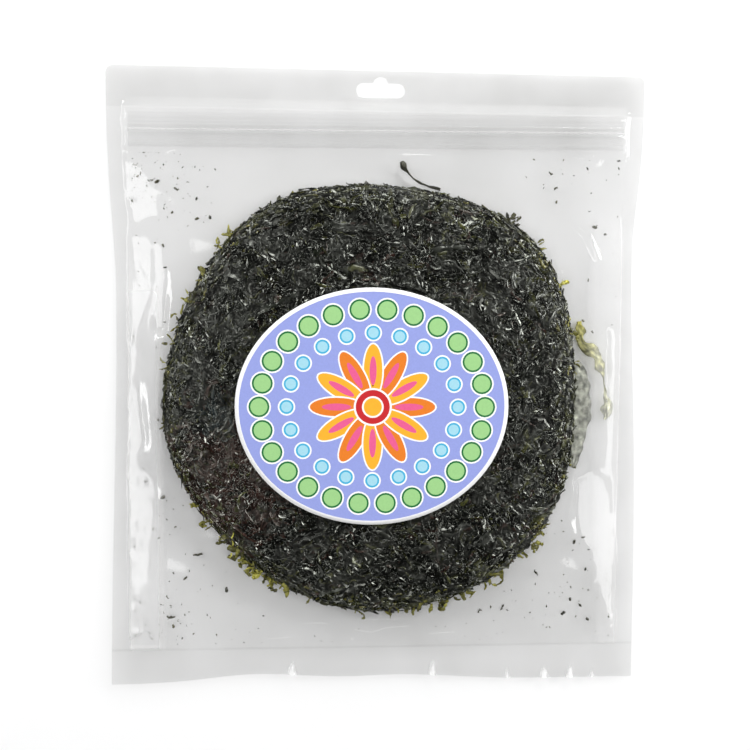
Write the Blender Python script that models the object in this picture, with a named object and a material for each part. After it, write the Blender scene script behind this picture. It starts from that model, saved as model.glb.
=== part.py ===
"""A round cake of dried laver in its clear zip bag, lying on its back. +Z is up and +Y points to the zip."""

import math
import random

import bmesh
import bpy
from mathutils import Matrix, Vector, noise

# Driving dimensions in metres. The origin is under the middle of the bag, on the surface it lies on.
BAG_WIDTH = 0.300
BAG_LENGTH = 0.345
FILM = 0.0005
CLEAR = 0.0003
SEAL_LIFT = 0.0022
SIDE_SEAL = 0.0085
BOTTOM_SEAL = 0.020
HEADER_ROUND = 0.0042
# Spacing of the film's points: the front panel follows the cake more closely than the back one.
BACK_STEP = 0.024
FRONT_STEP = 0.015
SEAL_STEP = 0.010
EDGE_STEP = 0.0015

# How far each side is drawn in by the full bag: depth, height of the waist, reach upwards and reach downwards.
LEFT_WAIST = (0.0049, 0.045, 0.060, 0.155)
RIGHT_WAIST = (0.0052, 0.072, 0.042, 0.095)
# The bottom edge rides up in shallow waves: rise, middle and half length.
BOTTOM_WAVES = ((0.0048, -0.066, 0.040), (0.0032, 0.016, 0.040))

CAKE_X = -0.0030
CAKE_Y = -0.0086
CAKE_RADIUS = 0.1182
CAKE_MID = 0.0050
CAKE_RISE = 0.0110
CAKE_SIDES = 54
# The back film starts to lift to the seals this far out, as a share of the cake's radius.
BACK_FLAT = 1.05
# The rim's slow lobes: order, size and the direction of the first one in degrees.
RIM_LOBES = ((1, 0.0025, 0), (2, 0.0022, -84), (3, 0.0020, 53), (4, 0.0017, 38), (5, 0.0018, -28))
# The matted surface: depth of its valleys, and the run of its ridges round the cake and across it.
MATTING_DEPTH = 0.0015
MATTING_RUN = 0.028
MATTING_GAP = 0.0110
RIM_ROUGH = 0.0016

FROND_STAND = 0.0020
FROND_THICK = 0.0008
CURLS = 118
CROSSED_CURLS = 24
CURL_LENGTH = (0.011, 0.020)
CURL_WIDTH = (0.0022, 0.0036)
CURL_CREST = (0.0041, 0.0047)
# A curl's ends lie this far below the cake's top, and its middle arches this far above them.
CURL_SUNK = 0.0022
CURL_ARCH = 0.0040
RIM_BLADES = 54
RIM_BLADE_ROOT = 0.010
RIM_BLADE_OUT = (0.0030, 0.0075)
RIM_BLADE_WIDTH = (0.0040, 0.0095)
RIM_BLADE_HEIGHT = (0.0022, 0.0085)

ZIP_Y = 0.1392
ZIP_SLOPE = 0.009
ZIP_WIDTH = 0.0145
ZIP_HALF_LENGTH = 0.1380
ZIP_FLANGE = 0.0004
ZIP_SPACE = 0.0025
ZIP_RAMP = 0.0040
ZIP_END_RAMP = 0.0025
ZIP_BAND = (0.1295, 0.1500)
HEADER_START = 0.1550

SLOT_X = 0.0004
SLOT_Y = 0.1617
SLOT_WIDTH = 0.0272
SLOT_HEIGHT = 0.0081
SLOT_BUMP = 0.0043
SLOT_BUMP_RISE = 0.0031
SLOT_ARC_STEP = 0.5
CUTTER_LOW = -0.005
CUTTER_HEIGHT = 0.020

LABEL_X = -0.0037
LABEL_Y = -0.0130
LABEL_WIDTH = 0.151
LABEL_HEIGHT = 0.131
LABEL_THICK = 0.0004
LABEL_SIDES = 36
LABEL_RINGS = (0.4, 0.75, 1.0)

POCKET_HALF = 0.1390
POCKET_LOW = -BAG_LENGTH / 2 + BOTTOM_SEAL
POCKET_HIGH = ZIP_BAND[0]
SEED = 11

# Loose flakes in the bag: where each lies, its length, its width and the way it points in degrees.
FLAKES = (
    (-0.1121, 0.1060, 0.0060, 0.0030, -25),
    (-0.1010, 0.1010, 0.0042, 0.0030, 60),
    (-0.1010, 0.0900, 0.0050, 0.0032, 10),
    (0.0970, 0.1180, 0.0052, 0.0028, -40),
    (0.1230, 0.0880, 0.0060, 0.0040, -10),
    (0.1150, -0.0930, 0.0050, 0.0042, 80),
    (0.1090, -0.1345, 0.0056, 0.0045, 35),
    (0.1190, -0.1300, 0.0052, 0.0030, -55),
    (0.0930, -0.1110, 0.0078, 0.0026, -50),
    (0.0600, -0.1330, 0.0052, 0.0034, 55),
    (0.0735, -0.1310, 0.0075, 0.0026, 88),
    (-0.0850, -0.1190, 0.0060, 0.0045, 80),
    (-0.1010, -0.0990, 0.0110, 0.0038, -12),
    (-0.1205, -0.0660, 0.0052, 0.0044, 20),
    (-0.1080, -0.1120, 0.0055, 0.0030, 30),
    (-0.1160, -0.1340, 0.0100, 0.0040, -5),
)


def ease(t):
    """0 to 1 with a soft start and end."""
    t = min(max(t, 0.0), 1.0)
    return t * t * (3 - 2 * t)


def material(name, colour, roughness, alpha=1.0):
    made = bpy.data.materials.new(name)
    made.use_nodes = True
    shader = made.node_tree.nodes["Principled BSDF"]
    shader.inputs["Base Color"].default_value = (*colour, 1)
    shader.inputs["Roughness"].default_value = roughness
    shader.inputs["Metallic"].default_value = 0.0
    shader.inputs["Alpha"].default_value = alpha
    return made


def add_object(name, mesh, finish):
    made = bpy.data.objects.new(name, mesh)
    bpy.context.scene.collection.objects.link(made)
    mesh.materials.append(finish)
    return made


# The laver cake's form, which the films and the label follow.


def rim_radius(angle):
    lobes = sum(size * math.cos(n * (angle - math.radians(first))) for n, size, first in RIM_LOBES)
    return CAKE_RADIUS + lobes


def cake_top(share):
    """Height of the pressed cake's top at this share of its radius."""
    return CAKE_MID + CAKE_RISE * (1 - min(share, 1.0) ** 5) ** (1 / 3)


def cake_bottom(share):
    floor = FILM + CLEAR
    return CAKE_MID - (CAKE_MID - floor) * (1 - min(share, 1.0) ** 8) ** 0.25


def from_cake(x, y):
    """Distance from the cake's middle, the direction, and the rim's radius that way."""
    dx, dy = x - CAKE_X, y - CAKE_Y
    angle = math.atan2(dy, dx)
    return math.hypot(dx, dy), angle, rim_radius(angle)


# The bag's two panels of film.


def side_edge(y, waist):
    depth, middle, up, down = waist
    reach = up if y > middle else down
    return BAG_WIDTH / 2 - depth * math.exp(-(((y - middle) / reach) ** 2))


def bottom_edge(x):
    rise = sum(h * math.exp(-(((x - middle) / half) ** 2)) for h, middle, half in BOTTOM_WAVES)
    return -BAG_LENGTH / 2 + rise


def pocket_end(x, y):
    """Distance from the cake's middle, through this point, to the seals and the zip round the pocket."""
    dx, dy = x - CAKE_X, y - CAKE_Y
    way = math.hypot(dx, dy)
    if way < 1e-6:
        return POCKET_HALF
    reach = []
    if abs(dx) > 1e-9:
        reach.append((math.copysign(POCKET_HALF, dx) - CAKE_X) / dx)
    if abs(dy) > 1e-9:
        reach.append(((POCKET_HIGH if dy > 0 else POCKET_LOW) - CAKE_Y) / dy)
    return way * min(t for t in reach if t > 0)


def zip_rise(x, y):
    """How far the front panel stands off the back one to make room for the zip."""
    low, high = ZIP_BAND
    along = min((y - low) / ZIP_RAMP + 1, (HEADER_START - y) / (HEADER_START - high), 1.0)
    fade = (POCKET_HALF - abs(x)) / ZIP_END_RAMP + 1
    return ZIP_SPACE * max(0.0, along) * min(max(fade, 0.0), 1.0)


def back_underside(x, y):
    """The back panel lies flat under the cake and lifts to the height of the seals round it."""
    way, _, rim = from_cake(x, y)
    start, end = BACK_FLAT * rim, pocket_end(x, y)
    if way >= end:
        return SEAL_LIFT
    return SEAL_LIFT * ease((way - start) / max(end - start, 1e-6))


def front_underside(x, y):
    """The front panel lies on the cake and runs straight from its shoulder down to the seals, as taut film does."""
    way, _, rim = from_cake(x, y)
    end = pocket_end(x, y)
    sealed = SEAL_LIFT + FILM + CLEAR
    if way >= end:
        return sealed + zip_rise(x, y)
    scale = end / max(way, 1e-6)
    end_x, end_y = CAKE_X + (x - CAKE_X) * scale, CAKE_Y + (y - CAKE_Y) * scale
    foot = sealed + zip_rise(end_x, end_y)
    slope, shoulder = 0.0, 0.9
    for step in range(60, 100):
        share = step / 100
        steep = (cake_top(share) + FROND_STAND + CLEAR - foot) / (end - share * rim)
        if steep > slope:
            slope, shoulder = steep, share
    if way <= shoulder * rim:
        return cake_top(way / rim) + FROND_STAND + CLEAR
    return foot + slope * (end - way)


def film_spot(u, v):
    """The place of a point of the panel: u from -1 at the left edge to 1, v from 0 at the bottom edge to 1."""
    y = -BAG_LENGTH / 2 + v * BAG_LENGTH
    half = side_edge(y, LEFT_WAIST if u < 0 else RIGHT_WAIST)
    x = u * half
    y += (bottom_edge(x) + BAG_LENGTH / 2) * max(0.0, 1 - v * BAG_LENGTH / BOTTOM_SEAL)
    top, side = BAG_LENGTH / 2 - HEADER_ROUND, half - HEADER_ROUND
    if y > top and abs(x) > side:
        across, up = (abs(x) - side) / HEADER_ROUND, (y - top) / HEADER_ROUND
        turn = max(across, up) / math.hypot(across, up)
        x = math.copysign(side + across * turn * HEADER_ROUND, x)
        y = top + up * turn * HEADER_ROUND
    return x, y


def spaced(start, end, step):
    count = max(1, round((end - start) / step))
    return [start + (end - start) * i / count for i in range(count + 1)]


def film_columns(step):
    """u of the columns of points, close together at the seals."""
    half = BAG_WIDTH / 2
    edge = [half, half - EDGE_STEP, half - HEADER_ROUND, half - SIDE_SEAL, POCKET_HALF]
    inner = spaced(-POCKET_HALF, POCKET_HALF, step)[1:-1]
    return [x / half for x in [-e for e in edge] + inner + edge[::-1]]


def film_rows(step):
    """v of the rows of points, close together at the bottom seal, the zip and the header's edge."""
    low, high = ZIP_BAND
    top = BAG_LENGTH / 2
    seal = spaced(-top, POCKET_LOW, SEAL_STEP)
    body = spaced(POCKET_LOW, low - ZIP_RAMP, step)[1:]
    zip_rows = [low, ZIP_Y, high, HEADER_START]
    header = [SLOT_Y, top - HEADER_ROUND, top - EDGE_STEP, top]
    return [(y + top) / BAG_LENGTH for y in seal + body + zip_rows + header]


def film_panel(name, underside, finish, step):
    """A thin closed sheet with its underside on the given height."""
    columns, rows = film_columns(step), film_rows(step)
    bm = bmesh.new()
    layers = []
    for lift in (0.0, FILM):
        layer = []
        for v in rows:
            spots = [film_spot(u, v) for u in columns]
            layer.append([bm.verts.new((x, y, underside(x, y) + lift)) for x, y in spots])
        layers.append(layer)
    under, over = layers
    last_row, last_column = len(rows) - 1, len(columns) - 1
    for j in range(last_row):
        for i in range(last_column):
            a, b, c, d = (j, i), (j, i + 1), (j + 1, i + 1), (j + 1, i)
            for p, q, r in ((a, b, c), (a, c, d)):
                bm.faces.new([over[k][m] for k, m in (p, q, r)])
                bm.faces.new([under[k][m] for k, m in (r, q, p)])
    border = [(0, i) for i in range(last_column)] + [(j, last_column) for j in range(last_row)]
    border += [(last_row, i) for i in range(last_column, 0, -1)] + [(j, 0) for j in range(last_row, 0, -1)]
    for (j, i), (k, m) in zip(border, border[1:] + border[:1]):
        bm.faces.new((under[j][i], under[k][m], over[k][m], over[j][i]))
    mesh = bpy.data.meshes.new(name)
    bm.to_mesh(mesh)
    bm.free()
    return add_object(name, mesh, finish)


def slot_cutter():
    """The hang slot's outline, a bar with round ends and a round bump in its middle, as a tall prism."""
    radius = SLOT_HEIGHT / 2
    end = SLOT_WIDTH / 2 - radius
    bump_y = SLOT_BUMP_RISE
    bump_half = math.sqrt(SLOT_BUMP**2 - (radius - bump_y) ** 2)
    first = math.atan2(radius - bump_y, bump_half)
    quarter = math.pi / 2

    def arc(x, y, size, start, stop):
        return [(x + size * math.cos(a), y + size * math.sin(a)) for a in spaced(start, stop, SLOT_ARC_STEP)]

    outline = arc(end, 0, radius, -quarter, quarter)
    outline += arc(0, bump_y, SLOT_BUMP, first, math.pi - first)
    outline += arc(-end, 0, radius, quarter, 3 * quarter)
    bm = bmesh.new()
    ring = [bm.verts.new((SLOT_X + x, SLOT_Y + y, CUTTER_LOW)) for x, y in outline]
    face = bm.faces.new(ring)
    lifted = bmesh.ops.extrude_face_region(bm, geom=[face])["geom"]
    ends = [v for v in lifted if isinstance(v, bmesh.types.BMVert)]
    bmesh.ops.translate(bm, verts=ends, vec=(0, 0, CUTTER_HEIGHT))
    bmesh.ops.recalc_face_normals(bm, faces=bm.faces)
    mesh = bpy.data.meshes.new("hang_slot_cutter")
    bm.to_mesh(mesh)
    bm.free()
    cutter = bpy.data.objects.new("hang_slot_cutter", mesh)
    bpy.context.scene.collection.objects.link(cutter)
    cutter.hide_render = True
    cutter.display_type = "WIRE"
    return cutter


def cut_hang_slot(panel, cutter):
    cut = panel.modifiers.new("hang_slot", "BOOLEAN")
    cut.operation = "DIFFERENCE"
    cut.solver = "EXACT"
    cut.object = cutter


# The press zip: two strips, one with a tongue and one with a groove and guide ribs.


def zip_strip(name, outline, base, finish):
    """A strip with this cross-section, (y, z) from its own flange, along the bag at height base."""
    bm = bmesh.new()
    ring = [bm.verts.new((-ZIP_HALF_LENGTH, y, z)) for y, z in outline]
    face = bm.faces.new(ring)
    lifted = bmesh.ops.extrude_face_region(bm, geom=[face])["geom"]
    ends = [v for v in lifted if isinstance(v, bmesh.types.BMVert)]
    bmesh.ops.translate(bm, verts=ends, vec=(2 * ZIP_HALF_LENGTH, 0, 0))
    bmesh.ops.recalc_face_normals(bm, faces=bm.faces)
    mesh = bpy.data.meshes.new(name)
    bm.to_mesh(mesh)
    bm.free()
    made = add_object(name, mesh, finish)
    made.location = (0, ZIP_Y, base)
    made.rotation_euler = (0, 0, math.atan(ZIP_SLOPE))
    return made


def zip_groove(finish):
    """The back strip: a flange with two jaws at its middle and a guide rib near each edge."""
    half, flange = ZIP_WIDTH / 2, ZIP_FLANGE
    outline = [(-half, 0), (half, 0), (half, flange)]
    for inner, outer, top in ((0.0050, 0.0056, 0.0009), (0.0009, 0.0017, 0.0015)):
        outline += [(outer, flange), (outer, top), (inner, top), (inner, flange)]
    for inner, outer, top in ((0.0009, 0.0017, 0.0015), (0.0050, 0.0056, 0.0009)):
        outline += [(-inner, flange), (-inner, top), (-outer, top), (-outer, flange)]
    outline.append((-half, flange))
    return zip_strip("zip_groove", outline, SEAL_LIFT + FILM + CLEAR, finish)


def zip_tongue(finish):
    """The front strip: a flange with one tongue, which hangs between the jaws."""
    half, flange = ZIP_WIDTH / 2, ZIP_FLANGE
    tongue, tip, reach = 0.00045, 0.0006, 0.0011
    outline = [(-half, 0), (-tongue, 0), (-tongue, -reach + 0.0003), (-tip, -reach + 0.0003), (-tongue, -reach)]
    outline += [(tongue, -reach), (tip, -reach + 0.0003), (tongue, -reach + 0.0003), (tongue, 0)]
    outline += [(half, 0), (half, flange), (-half, flange)]
    base = SEAL_LIFT + FILM + CLEAR + ZIP_SPACE - CLEAR - flange
    return zip_strip("zip_tongue", outline, base, finish)


# The laver cake: a pressed core with a matted surface, which curled fronds stand out of and ragged ones edge.


def matting(x, y):
    """Height of the matted surface's ridges, from 0 to 1: they run round the cake and wander across each other."""
    way, _, _ = from_cake(x, y)
    spot = Vector((x / MATTING_RUN, y / MATTING_RUN, way / MATTING_GAP))
    return 1 - min(1.0, 2.4 * abs(noise.noise(spot + 0.5 * noise.noise_vector(spot))))


def cake_core(finish):
    top_shares = spaced(0.0, 0.90, 0.045)[1:] + [0.93, 0.96, 0.985]
    under_shares = [0.985, 0.94, 0.82, 0.66, 0.50, 0.34, 0.17]
    bm = bmesh.new()

    def ring(share, height_at):
        points = []
        for k in range(CAKE_SIDES):
            angle = 2 * math.pi * k / CAKE_SIDES
            rough = noise.noise(Vector((math.cos(angle), math.sin(angle), share)) * 9)
            reach = rim_radius(angle) * share + RIM_ROUGH * rough * share**4
            x, y = CAKE_X + reach * math.cos(angle), CAKE_Y + reach * math.sin(angle)
            points.append(bm.verts.new((x, y, height_at(x, y))))
        return points

    def bridge(first, second):
        for k in range(CAKE_SIDES):
            n = (k + 1) % CAKE_SIDES
            bm.faces.new((first[k], second[k], second[n]))
            bm.faces.new((first[k], second[n], first[n]))

    def over(share):
        valley = MATTING_DEPTH * (1 - 0.5 * share)
        return lambda x, y: cake_top(share) - 0.0004 - valley * (1 - matting(x, y))

    def under(share):
        valley = MATTING_DEPTH / 2 * min(1, share * 4)
        return lambda x, y: cake_bottom(share) + valley * (1 - matting(x, y))

    top = bm.verts.new((CAKE_X, CAKE_Y, over(0)(CAKE_X, CAKE_Y)))
    rings = [ring(share, over(share)) for share in top_shares]
    rings.append(ring(1.0, lambda x, y: CAKE_MID + MATTING_DEPTH * (matting(x, y) - 0.5)))
    rings += [ring(share, under(share)) for share in under_shares]
    bottom = bm.verts.new((CAKE_X, CAKE_Y, FILM + CLEAR))
    for k in range(CAKE_SIDES):
        n = (k + 1) % CAKE_SIDES
        bm.faces.new((top, rings[0][k], rings[0][n]))
        bm.faces.new((bottom, rings[-1][n], rings[-1][k]))
    for first, second in zip(rings, rings[1:]):
        bridge(first, second)
    mesh = bpy.data.meshes.new("laver_cake")
    bm.to_mesh(mesh)
    bm.free()
    return add_object("laver_cake", mesh, finish)


def ribbon_mesh(name, points, widths, thick, tilts):
    """A flat strip along points: each width across it, and each tilt in radians about its run from lying flat."""
    bm = bmesh.new()
    rings = []
    for i, (point, width, tilt) in enumerate(zip(points, widths, tilts)):
        run = (points[min(i + 1, len(points) - 1)] - points[max(i - 1, 0)]).normalized()
        flat = Vector((-run.y, run.x, 0)).normalized()
        across = Matrix.Rotation(tilt, 3, run) @ flat
        out = run.cross(across).normalized() * (thick / 2)
        side = across * (width / 2)
        corners = (point - side + out, point + side + out, point + side - out, point - side - out)
        rings.append([bm.verts.new(p) for p in corners])
    for first, second in zip(rings, rings[1:]):
        for a, b, alike in ((0, 1, True), (1, 2, True), (2, 3, False), (3, 0, False)):
            if alike:
                bm.faces.new((first[a], first[b], second[b]))
                bm.faces.new((first[a], second[b], second[a]))
            else:
                bm.faces.new((first[a], first[b], second[a]))
                bm.faces.new((first[b], second[b], second[a]))
    bm.faces.new(rings[0][::-1])
    bm.faces.new(rings[-1])
    bmesh.ops.recalc_face_normals(bm, faces=bm.faces)
    mesh = bpy.data.meshes.new(name)
    bm.to_mesh(mesh)
    bm.free()
    return mesh


def curl_mesh(name, points, width, crest, lean):
    """A three-sided ridge along points, which are its crest: the fold of a curled frond, its foot sunk in the cake."""
    bm = bmesh.new()
    rings = []
    for i, point in enumerate(points):
        run = points[min(i + 1, len(points) - 1)] - points[max(i - 1, 0)]
        side = Vector((-run.y, run.x, 0)).normalized() * (width / 2)
        foot = point - Vector((0, 0, crest)) + side * lean
        rings.append([bm.verts.new(p) for p in (point, foot - side, foot + side)])
    for first, second in zip(rings, rings[1:]):
        for a, b in ((0, 1), (1, 2), (2, 0)):
            bm.faces.new((first[a], first[b], second[b]))
            bm.faces.new((first[a], second[b], second[a]))
    bm.faces.new(rings[0][::-1])
    bm.faces.new(rings[-1])
    bmesh.ops.recalc_face_normals(bm, faces=bm.faces)
    mesh = bpy.data.meshes.new(name)
    bm.to_mesh(mesh)
    bm.free()
    return mesh


def held_in(point, under=0.0, over=0.0):
    """The point, kept between the two films with this much room left below and above it."""
    low = back_underside(point.x, point.y) + FILM + CLEAR + under
    high = front_underside(point.x, point.y) - CLEAR - over
    return Vector((point.x, point.y, min(max(point.z, low), max(low, high))))


def curl_path(draw, crossing):
    """A short curled frond lying on the cake: both ends sunk in it, its middle standing out of it."""
    share = math.sqrt(draw.uniform(0.0, 0.93))
    angle = draw.uniform(0, 2 * math.pi)
    reach = rim_radius(angle) * share
    middle = Vector((CAKE_X + reach * math.cos(angle), CAKE_Y + reach * math.sin(angle), 0))
    heading = angle + math.pi / 2 + draw.gauss(0, 0.55) + (math.pi / 2 if crossing else 0)
    length = draw.uniform(*CURL_LENGTH)
    bend = draw.choice((-1, 1)) * draw.uniform(0.7, 2.0)
    points = []
    for t in (-0.5, -0.18, 0.18, 0.5):
        turn = heading + bend * t
        spot = middle + Vector((math.cos(turn), math.sin(turn), 0)) * (length * t)
        way, _, rim = from_cake(spot.x, spot.y)
        height = cake_top(min(way / rim, 0.985)) - CURL_SUNK + CURL_ARCH * (1 - 4 * t * t)
        points.append(Vector((spot.x, spot.y, height)))
    return points


def rim_path(draw, angle):
    """A ragged frond that leaves the rim outwards, its root sunk in the cake."""
    rim = rim_radius(angle)
    skew = draw.gauss(0, 0.35)
    out = draw.uniform(*RIM_BLADE_OUT)
    height = draw.uniform(*RIM_BLADE_HEIGHT)
    points = []
    for step, reach in enumerate((-RIM_BLADE_ROOT, -0.4 * RIM_BLADE_ROOT, out * 0.5, out)):
        way = angle + skew * (reach + RIM_BLADE_ROOT) / rim * 2
        x = CAKE_X + (rim + reach) * math.cos(way)
        y = CAKE_Y + (rim + reach) * math.sin(way)
        points.append(Vector((x, y, height + (0.0007 if step % 2 else -0.0004))))
    return points


def kept_clear(angle):
    """True where a frond of another node lies along the rim."""
    turn = math.degrees(angle) % 360
    return turn > 335 or turn < 26 or 62 < turn < 101


def laver_cake(finish):
    draw = random.Random(SEED)
    cake = cake_core(finish)
    fronds = bpy.data.collections.new("fronds_to_join")
    bpy.context.scene.collection.children.link(fronds)

    def add(name, mesh):
        fronds.objects.link(bpy.data.objects.new(name, mesh))

    for k in range(CURLS + CROSSED_CURLS):
        points = [held_in(p, over=0.0002) for p in curl_path(draw, k >= CURLS)]
        wide, crest = draw.uniform(*CURL_WIDTH), draw.uniform(*CURL_CREST)
        add(f"curl_{k:03d}", curl_mesh("curl", points, wide, crest, draw.uniform(-0.9, 0.9)))
    for k in range(RIM_BLADES):
        angle = 2 * math.pi * (k + draw.uniform(-0.3, 0.3)) / RIM_BLADES
        if kept_clear(angle):
            continue
        wide = draw.uniform(*RIM_BLADE_WIDTH)
        points = [held_in(p, under=0.0009, over=0.0012) for p in rim_path(draw, angle)]
        tilt = draw.uniform(-0.16, 0.16)
        widths = (wide, wide, wide * draw.uniform(0.6, 1.1), wide * 0.35)
        add(f"rim_{k:03d}", ribbon_mesh("rim_frond", points, widths, FROND_THICK, (0, 0, tilt, tilt)))

    join = cake.modifiers.new("join_fronds", "BOOLEAN")
    join.operation = "UNION"
    join.operand_type = "COLLECTION"
    join.collection = fronds
    join.solver = "MANIFOLD"
    joined = bpy.data.meshes.new_from_object(cake.evaluated_get(bpy.context.evaluated_depsgraph_get()))
    cake.modifiers.clear()
    cake.data = joined
    for frond in list(fronds.objects):
        bpy.data.objects.remove(frond)
    bpy.data.collections.remove(fronds)
    return cake


# Fronds that reach past the rim, each of one colour and one piece.


def loose_frond(name, line, finish):
    """A frond along line, whose rows are x, y, height above the back film, width and tilt in degrees."""
    points, widths, tilts = [], [], []
    for x, y, height, width, tilt in line:
        low = back_underside(x, y) + FILM + CLEAR
        middle = Vector((x, y, low + FROND_THICK / 2 + height))
        points.append(held_in(middle, over=FROND_THICK / 2 + 0.0008))
        widths.append(width)
        tilts.append(math.radians(tilt))
    mesh = ribbon_mesh(name, points, widths, FROND_THICK, tilts)
    return add_object(name, mesh, finish)


def trailing_frond(finish):
    line = (
        (0.1146, 0.0345, 0.0014, 0.0034, 0),
        (0.1158, 0.0285, 0.0008, 0.0040, 0),
        (0.1176, 0.0225, 0.0009, 0.0038, 0),
        (0.1216, 0.0180, 0.0014, 0.0052, 12),
        (0.1252, 0.0140, 0.0013, 0.0062, -10),
        (0.1284, 0.0085, 0.0012, 0.0044, 8),
        (0.1297, 0.0035, 0.0009, 0.0018, 0),
        (0.1302, -0.0025, 0.0006, 0.0014, 0),
        (0.1310, -0.0085, 0.0005, 0.0020, 0),
        (0.1322, -0.0130, 0.0005, 0.0042, 0),
        (0.1316, -0.0172, 0.0005, 0.0044, 0),
        (0.1308, -0.0215, 0.0005, 0.0018, 0),
    )
    return loose_frond("trailing_frond", line, finish)


def pale_frond(finish):
    line = (
        (0.1158, 0.0060, 0.0020, 0.0030, 0),
        (0.1176, 0.0005, 0.0026, 0.0068, 6),
        (0.1188, -0.0060, 0.0022, 0.0088, -5),
        (0.1184, -0.0130, 0.0027, 0.0062, 6),
        (0.1188, -0.0200, 0.0022, 0.0092, -5),
        (0.1182, -0.0270, 0.0026, 0.0078, 5),
        (0.1172, -0.0340, 0.0021, 0.0070, -5),
        (0.1160, -0.0410, 0.0024, 0.0056, 4),
        (0.1140, -0.0490, 0.0020, 0.0026, 0),
    )
    return loose_frond("pale_frond", line, finish)


def stray_sprig(finish):
    line = (
        (0.0120, 0.1228, 0.0016, 0.0020, 0),
        (0.0136, 0.1200, 0.0020, 0.0034, 15),
        (0.0160, 0.1168, 0.0022, 0.0014, 0),
        (0.0192, 0.1136, 0.0020, 0.0012, 0),
        (0.0232, 0.1110, 0.0018, 0.0012, 0),
        (0.0284, 0.1093, 0.0016, 0.0012, 0),
        (0.0344, 0.1078, 0.0014, 0.0012, 0),
    )
    return loose_frond("stray_sprig", line, finish)


def loose_flake(number, x, y, length, width, turn, finish):
    """A dry scrap of frond, bent up at both ends."""
    run = Vector((math.cos(math.radians(turn)), math.sin(math.radians(turn)), 0))
    lifts = (0.0007, 0.0001, 0.0005)
    points = []
    for share, lift in zip((-0.5, 0.05, 0.5), lifts):
        spot = Vector((x, y, 0)) + run * (length * share)
        low = back_underside(spot.x, spot.y) + FILM + CLEAR
        points.append(Vector((spot.x, spot.y, low + 0.0002 + FROND_THICK / 2 + lift)))
    mesh = ribbon_mesh("loose_flake", points, (width * 0.45, width, width * 0.6), FROND_THICK, (0, 0, 0))
    return add_object(f"loose_flake_{number:02d}", mesh, finish)


# The label stuck on the front panel.


def label(finish):
    bm = bmesh.new()

    def spot(share, k, lift):
        angle = 2 * math.pi * k / LABEL_SIDES
        x = LABEL_X + LABEL_WIDTH / 2 * share * math.cos(angle)
        y = LABEL_Y + LABEL_HEIGHT / 2 * share * math.sin(angle)
        return bm.verts.new((x, y, front_underside(x, y) + FILM + CLEAR + lift))

    faces = []
    for lift in (0.0, LABEL_THICK):
        middle = spot(0, 0, lift)
        rings = [[spot(share, k, lift) for k in range(LABEL_SIDES)] for share in LABEL_RINGS]
        faces.append((middle, rings))
    for (middle, rings), up in zip(faces, (False, True)):
        for k in range(LABEL_SIDES):
            n = (k + 1) % LABEL_SIDES
            fan = (middle, rings[0][k], rings[0][n])
            bm.faces.new(fan if up else fan[::-1])
            for first, second in zip(rings, rings[1:]):
                for three in ((first[k], second[k], second[n]), (first[k], second[n], first[n])):
                    bm.faces.new(three if up else three[::-1])
    low, high = faces[0][1][-1], faces[1][1][-1]
    for k in range(LABEL_SIDES):
        n = (k + 1) % LABEL_SIDES
        bm.faces.new((low[k], low[n], high[n], high[k]))
    mesh = bpy.data.meshes.new("label")
    bm.to_mesh(mesh)
    bm.free()
    return add_object("label", mesh, finish)


for old in list(bpy.data.objects):
    bpy.data.objects.remove(old)

clear_film = material("clear_film", (0.80, 0.80, 0.80), 0.12, alpha=0.35)
zip_plastic = material("zip_plastic", (0.86, 0.86, 0.86), 0.25, alpha=0.6)
dark_laver = material("dark_laver", (0.020, 0.022, 0.016), 0.45)
olive_laver = material("olive_laver", (0.30, 0.29, 0.06), 0.45)
pale_laver = material("pale_laver", (0.34, 0.35, 0.30), 0.5)
label_paper = material("label_paper", (0.42, 0.52, 0.85), 0.55)

cutter = slot_cutter()
cut_hang_slot(film_panel("back_film", back_underside, clear_film, BACK_STEP), cutter)
cut_hang_slot(film_panel("front_film", front_underside, clear_film, FRONT_STEP), cutter)
zip_groove(zip_plastic)
zip_tongue(zip_plastic)
laver_cake(dark_laver)
trailing_frond(olive_laver)
pale_frond(pale_laver)
stray_sprig(dark_laver)
for number, flake in enumerate(FLAKES, start=1):
    loose_flake(number, *flake, dark_laver)
label(label_paper)
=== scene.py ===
"""A round cake of dried laver in its clear zip bag, laid on a pale table and seen from above."""

import math

import bpy
import numpy as np
from mathutils import Matrix, Vector
from mathutils.geometry import delaunay_2d_cdt


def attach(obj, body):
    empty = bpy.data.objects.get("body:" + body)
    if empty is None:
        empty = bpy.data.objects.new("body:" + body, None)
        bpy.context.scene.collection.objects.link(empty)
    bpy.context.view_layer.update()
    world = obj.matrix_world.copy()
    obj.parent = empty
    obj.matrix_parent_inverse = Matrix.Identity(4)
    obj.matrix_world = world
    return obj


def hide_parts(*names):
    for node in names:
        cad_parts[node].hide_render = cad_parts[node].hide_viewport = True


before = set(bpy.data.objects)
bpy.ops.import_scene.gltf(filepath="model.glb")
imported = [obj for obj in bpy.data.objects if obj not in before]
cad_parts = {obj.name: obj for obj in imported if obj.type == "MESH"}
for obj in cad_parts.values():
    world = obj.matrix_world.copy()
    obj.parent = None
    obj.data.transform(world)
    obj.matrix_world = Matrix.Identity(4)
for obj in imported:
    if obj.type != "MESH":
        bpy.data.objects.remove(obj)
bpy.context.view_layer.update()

# The camera: it looks down on the laid bag from arm's length, a little off square, with a 50 mm lens.
CAMERA_PLACE = Vector((-0.0429, 0.0415, 0.5884))
CAMERA_LOOKS = Vector((0.07043, -0.06444, -0.99543))
CAMERA_UP = Vector((-0.00327, 0.99789, -0.06483))

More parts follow.
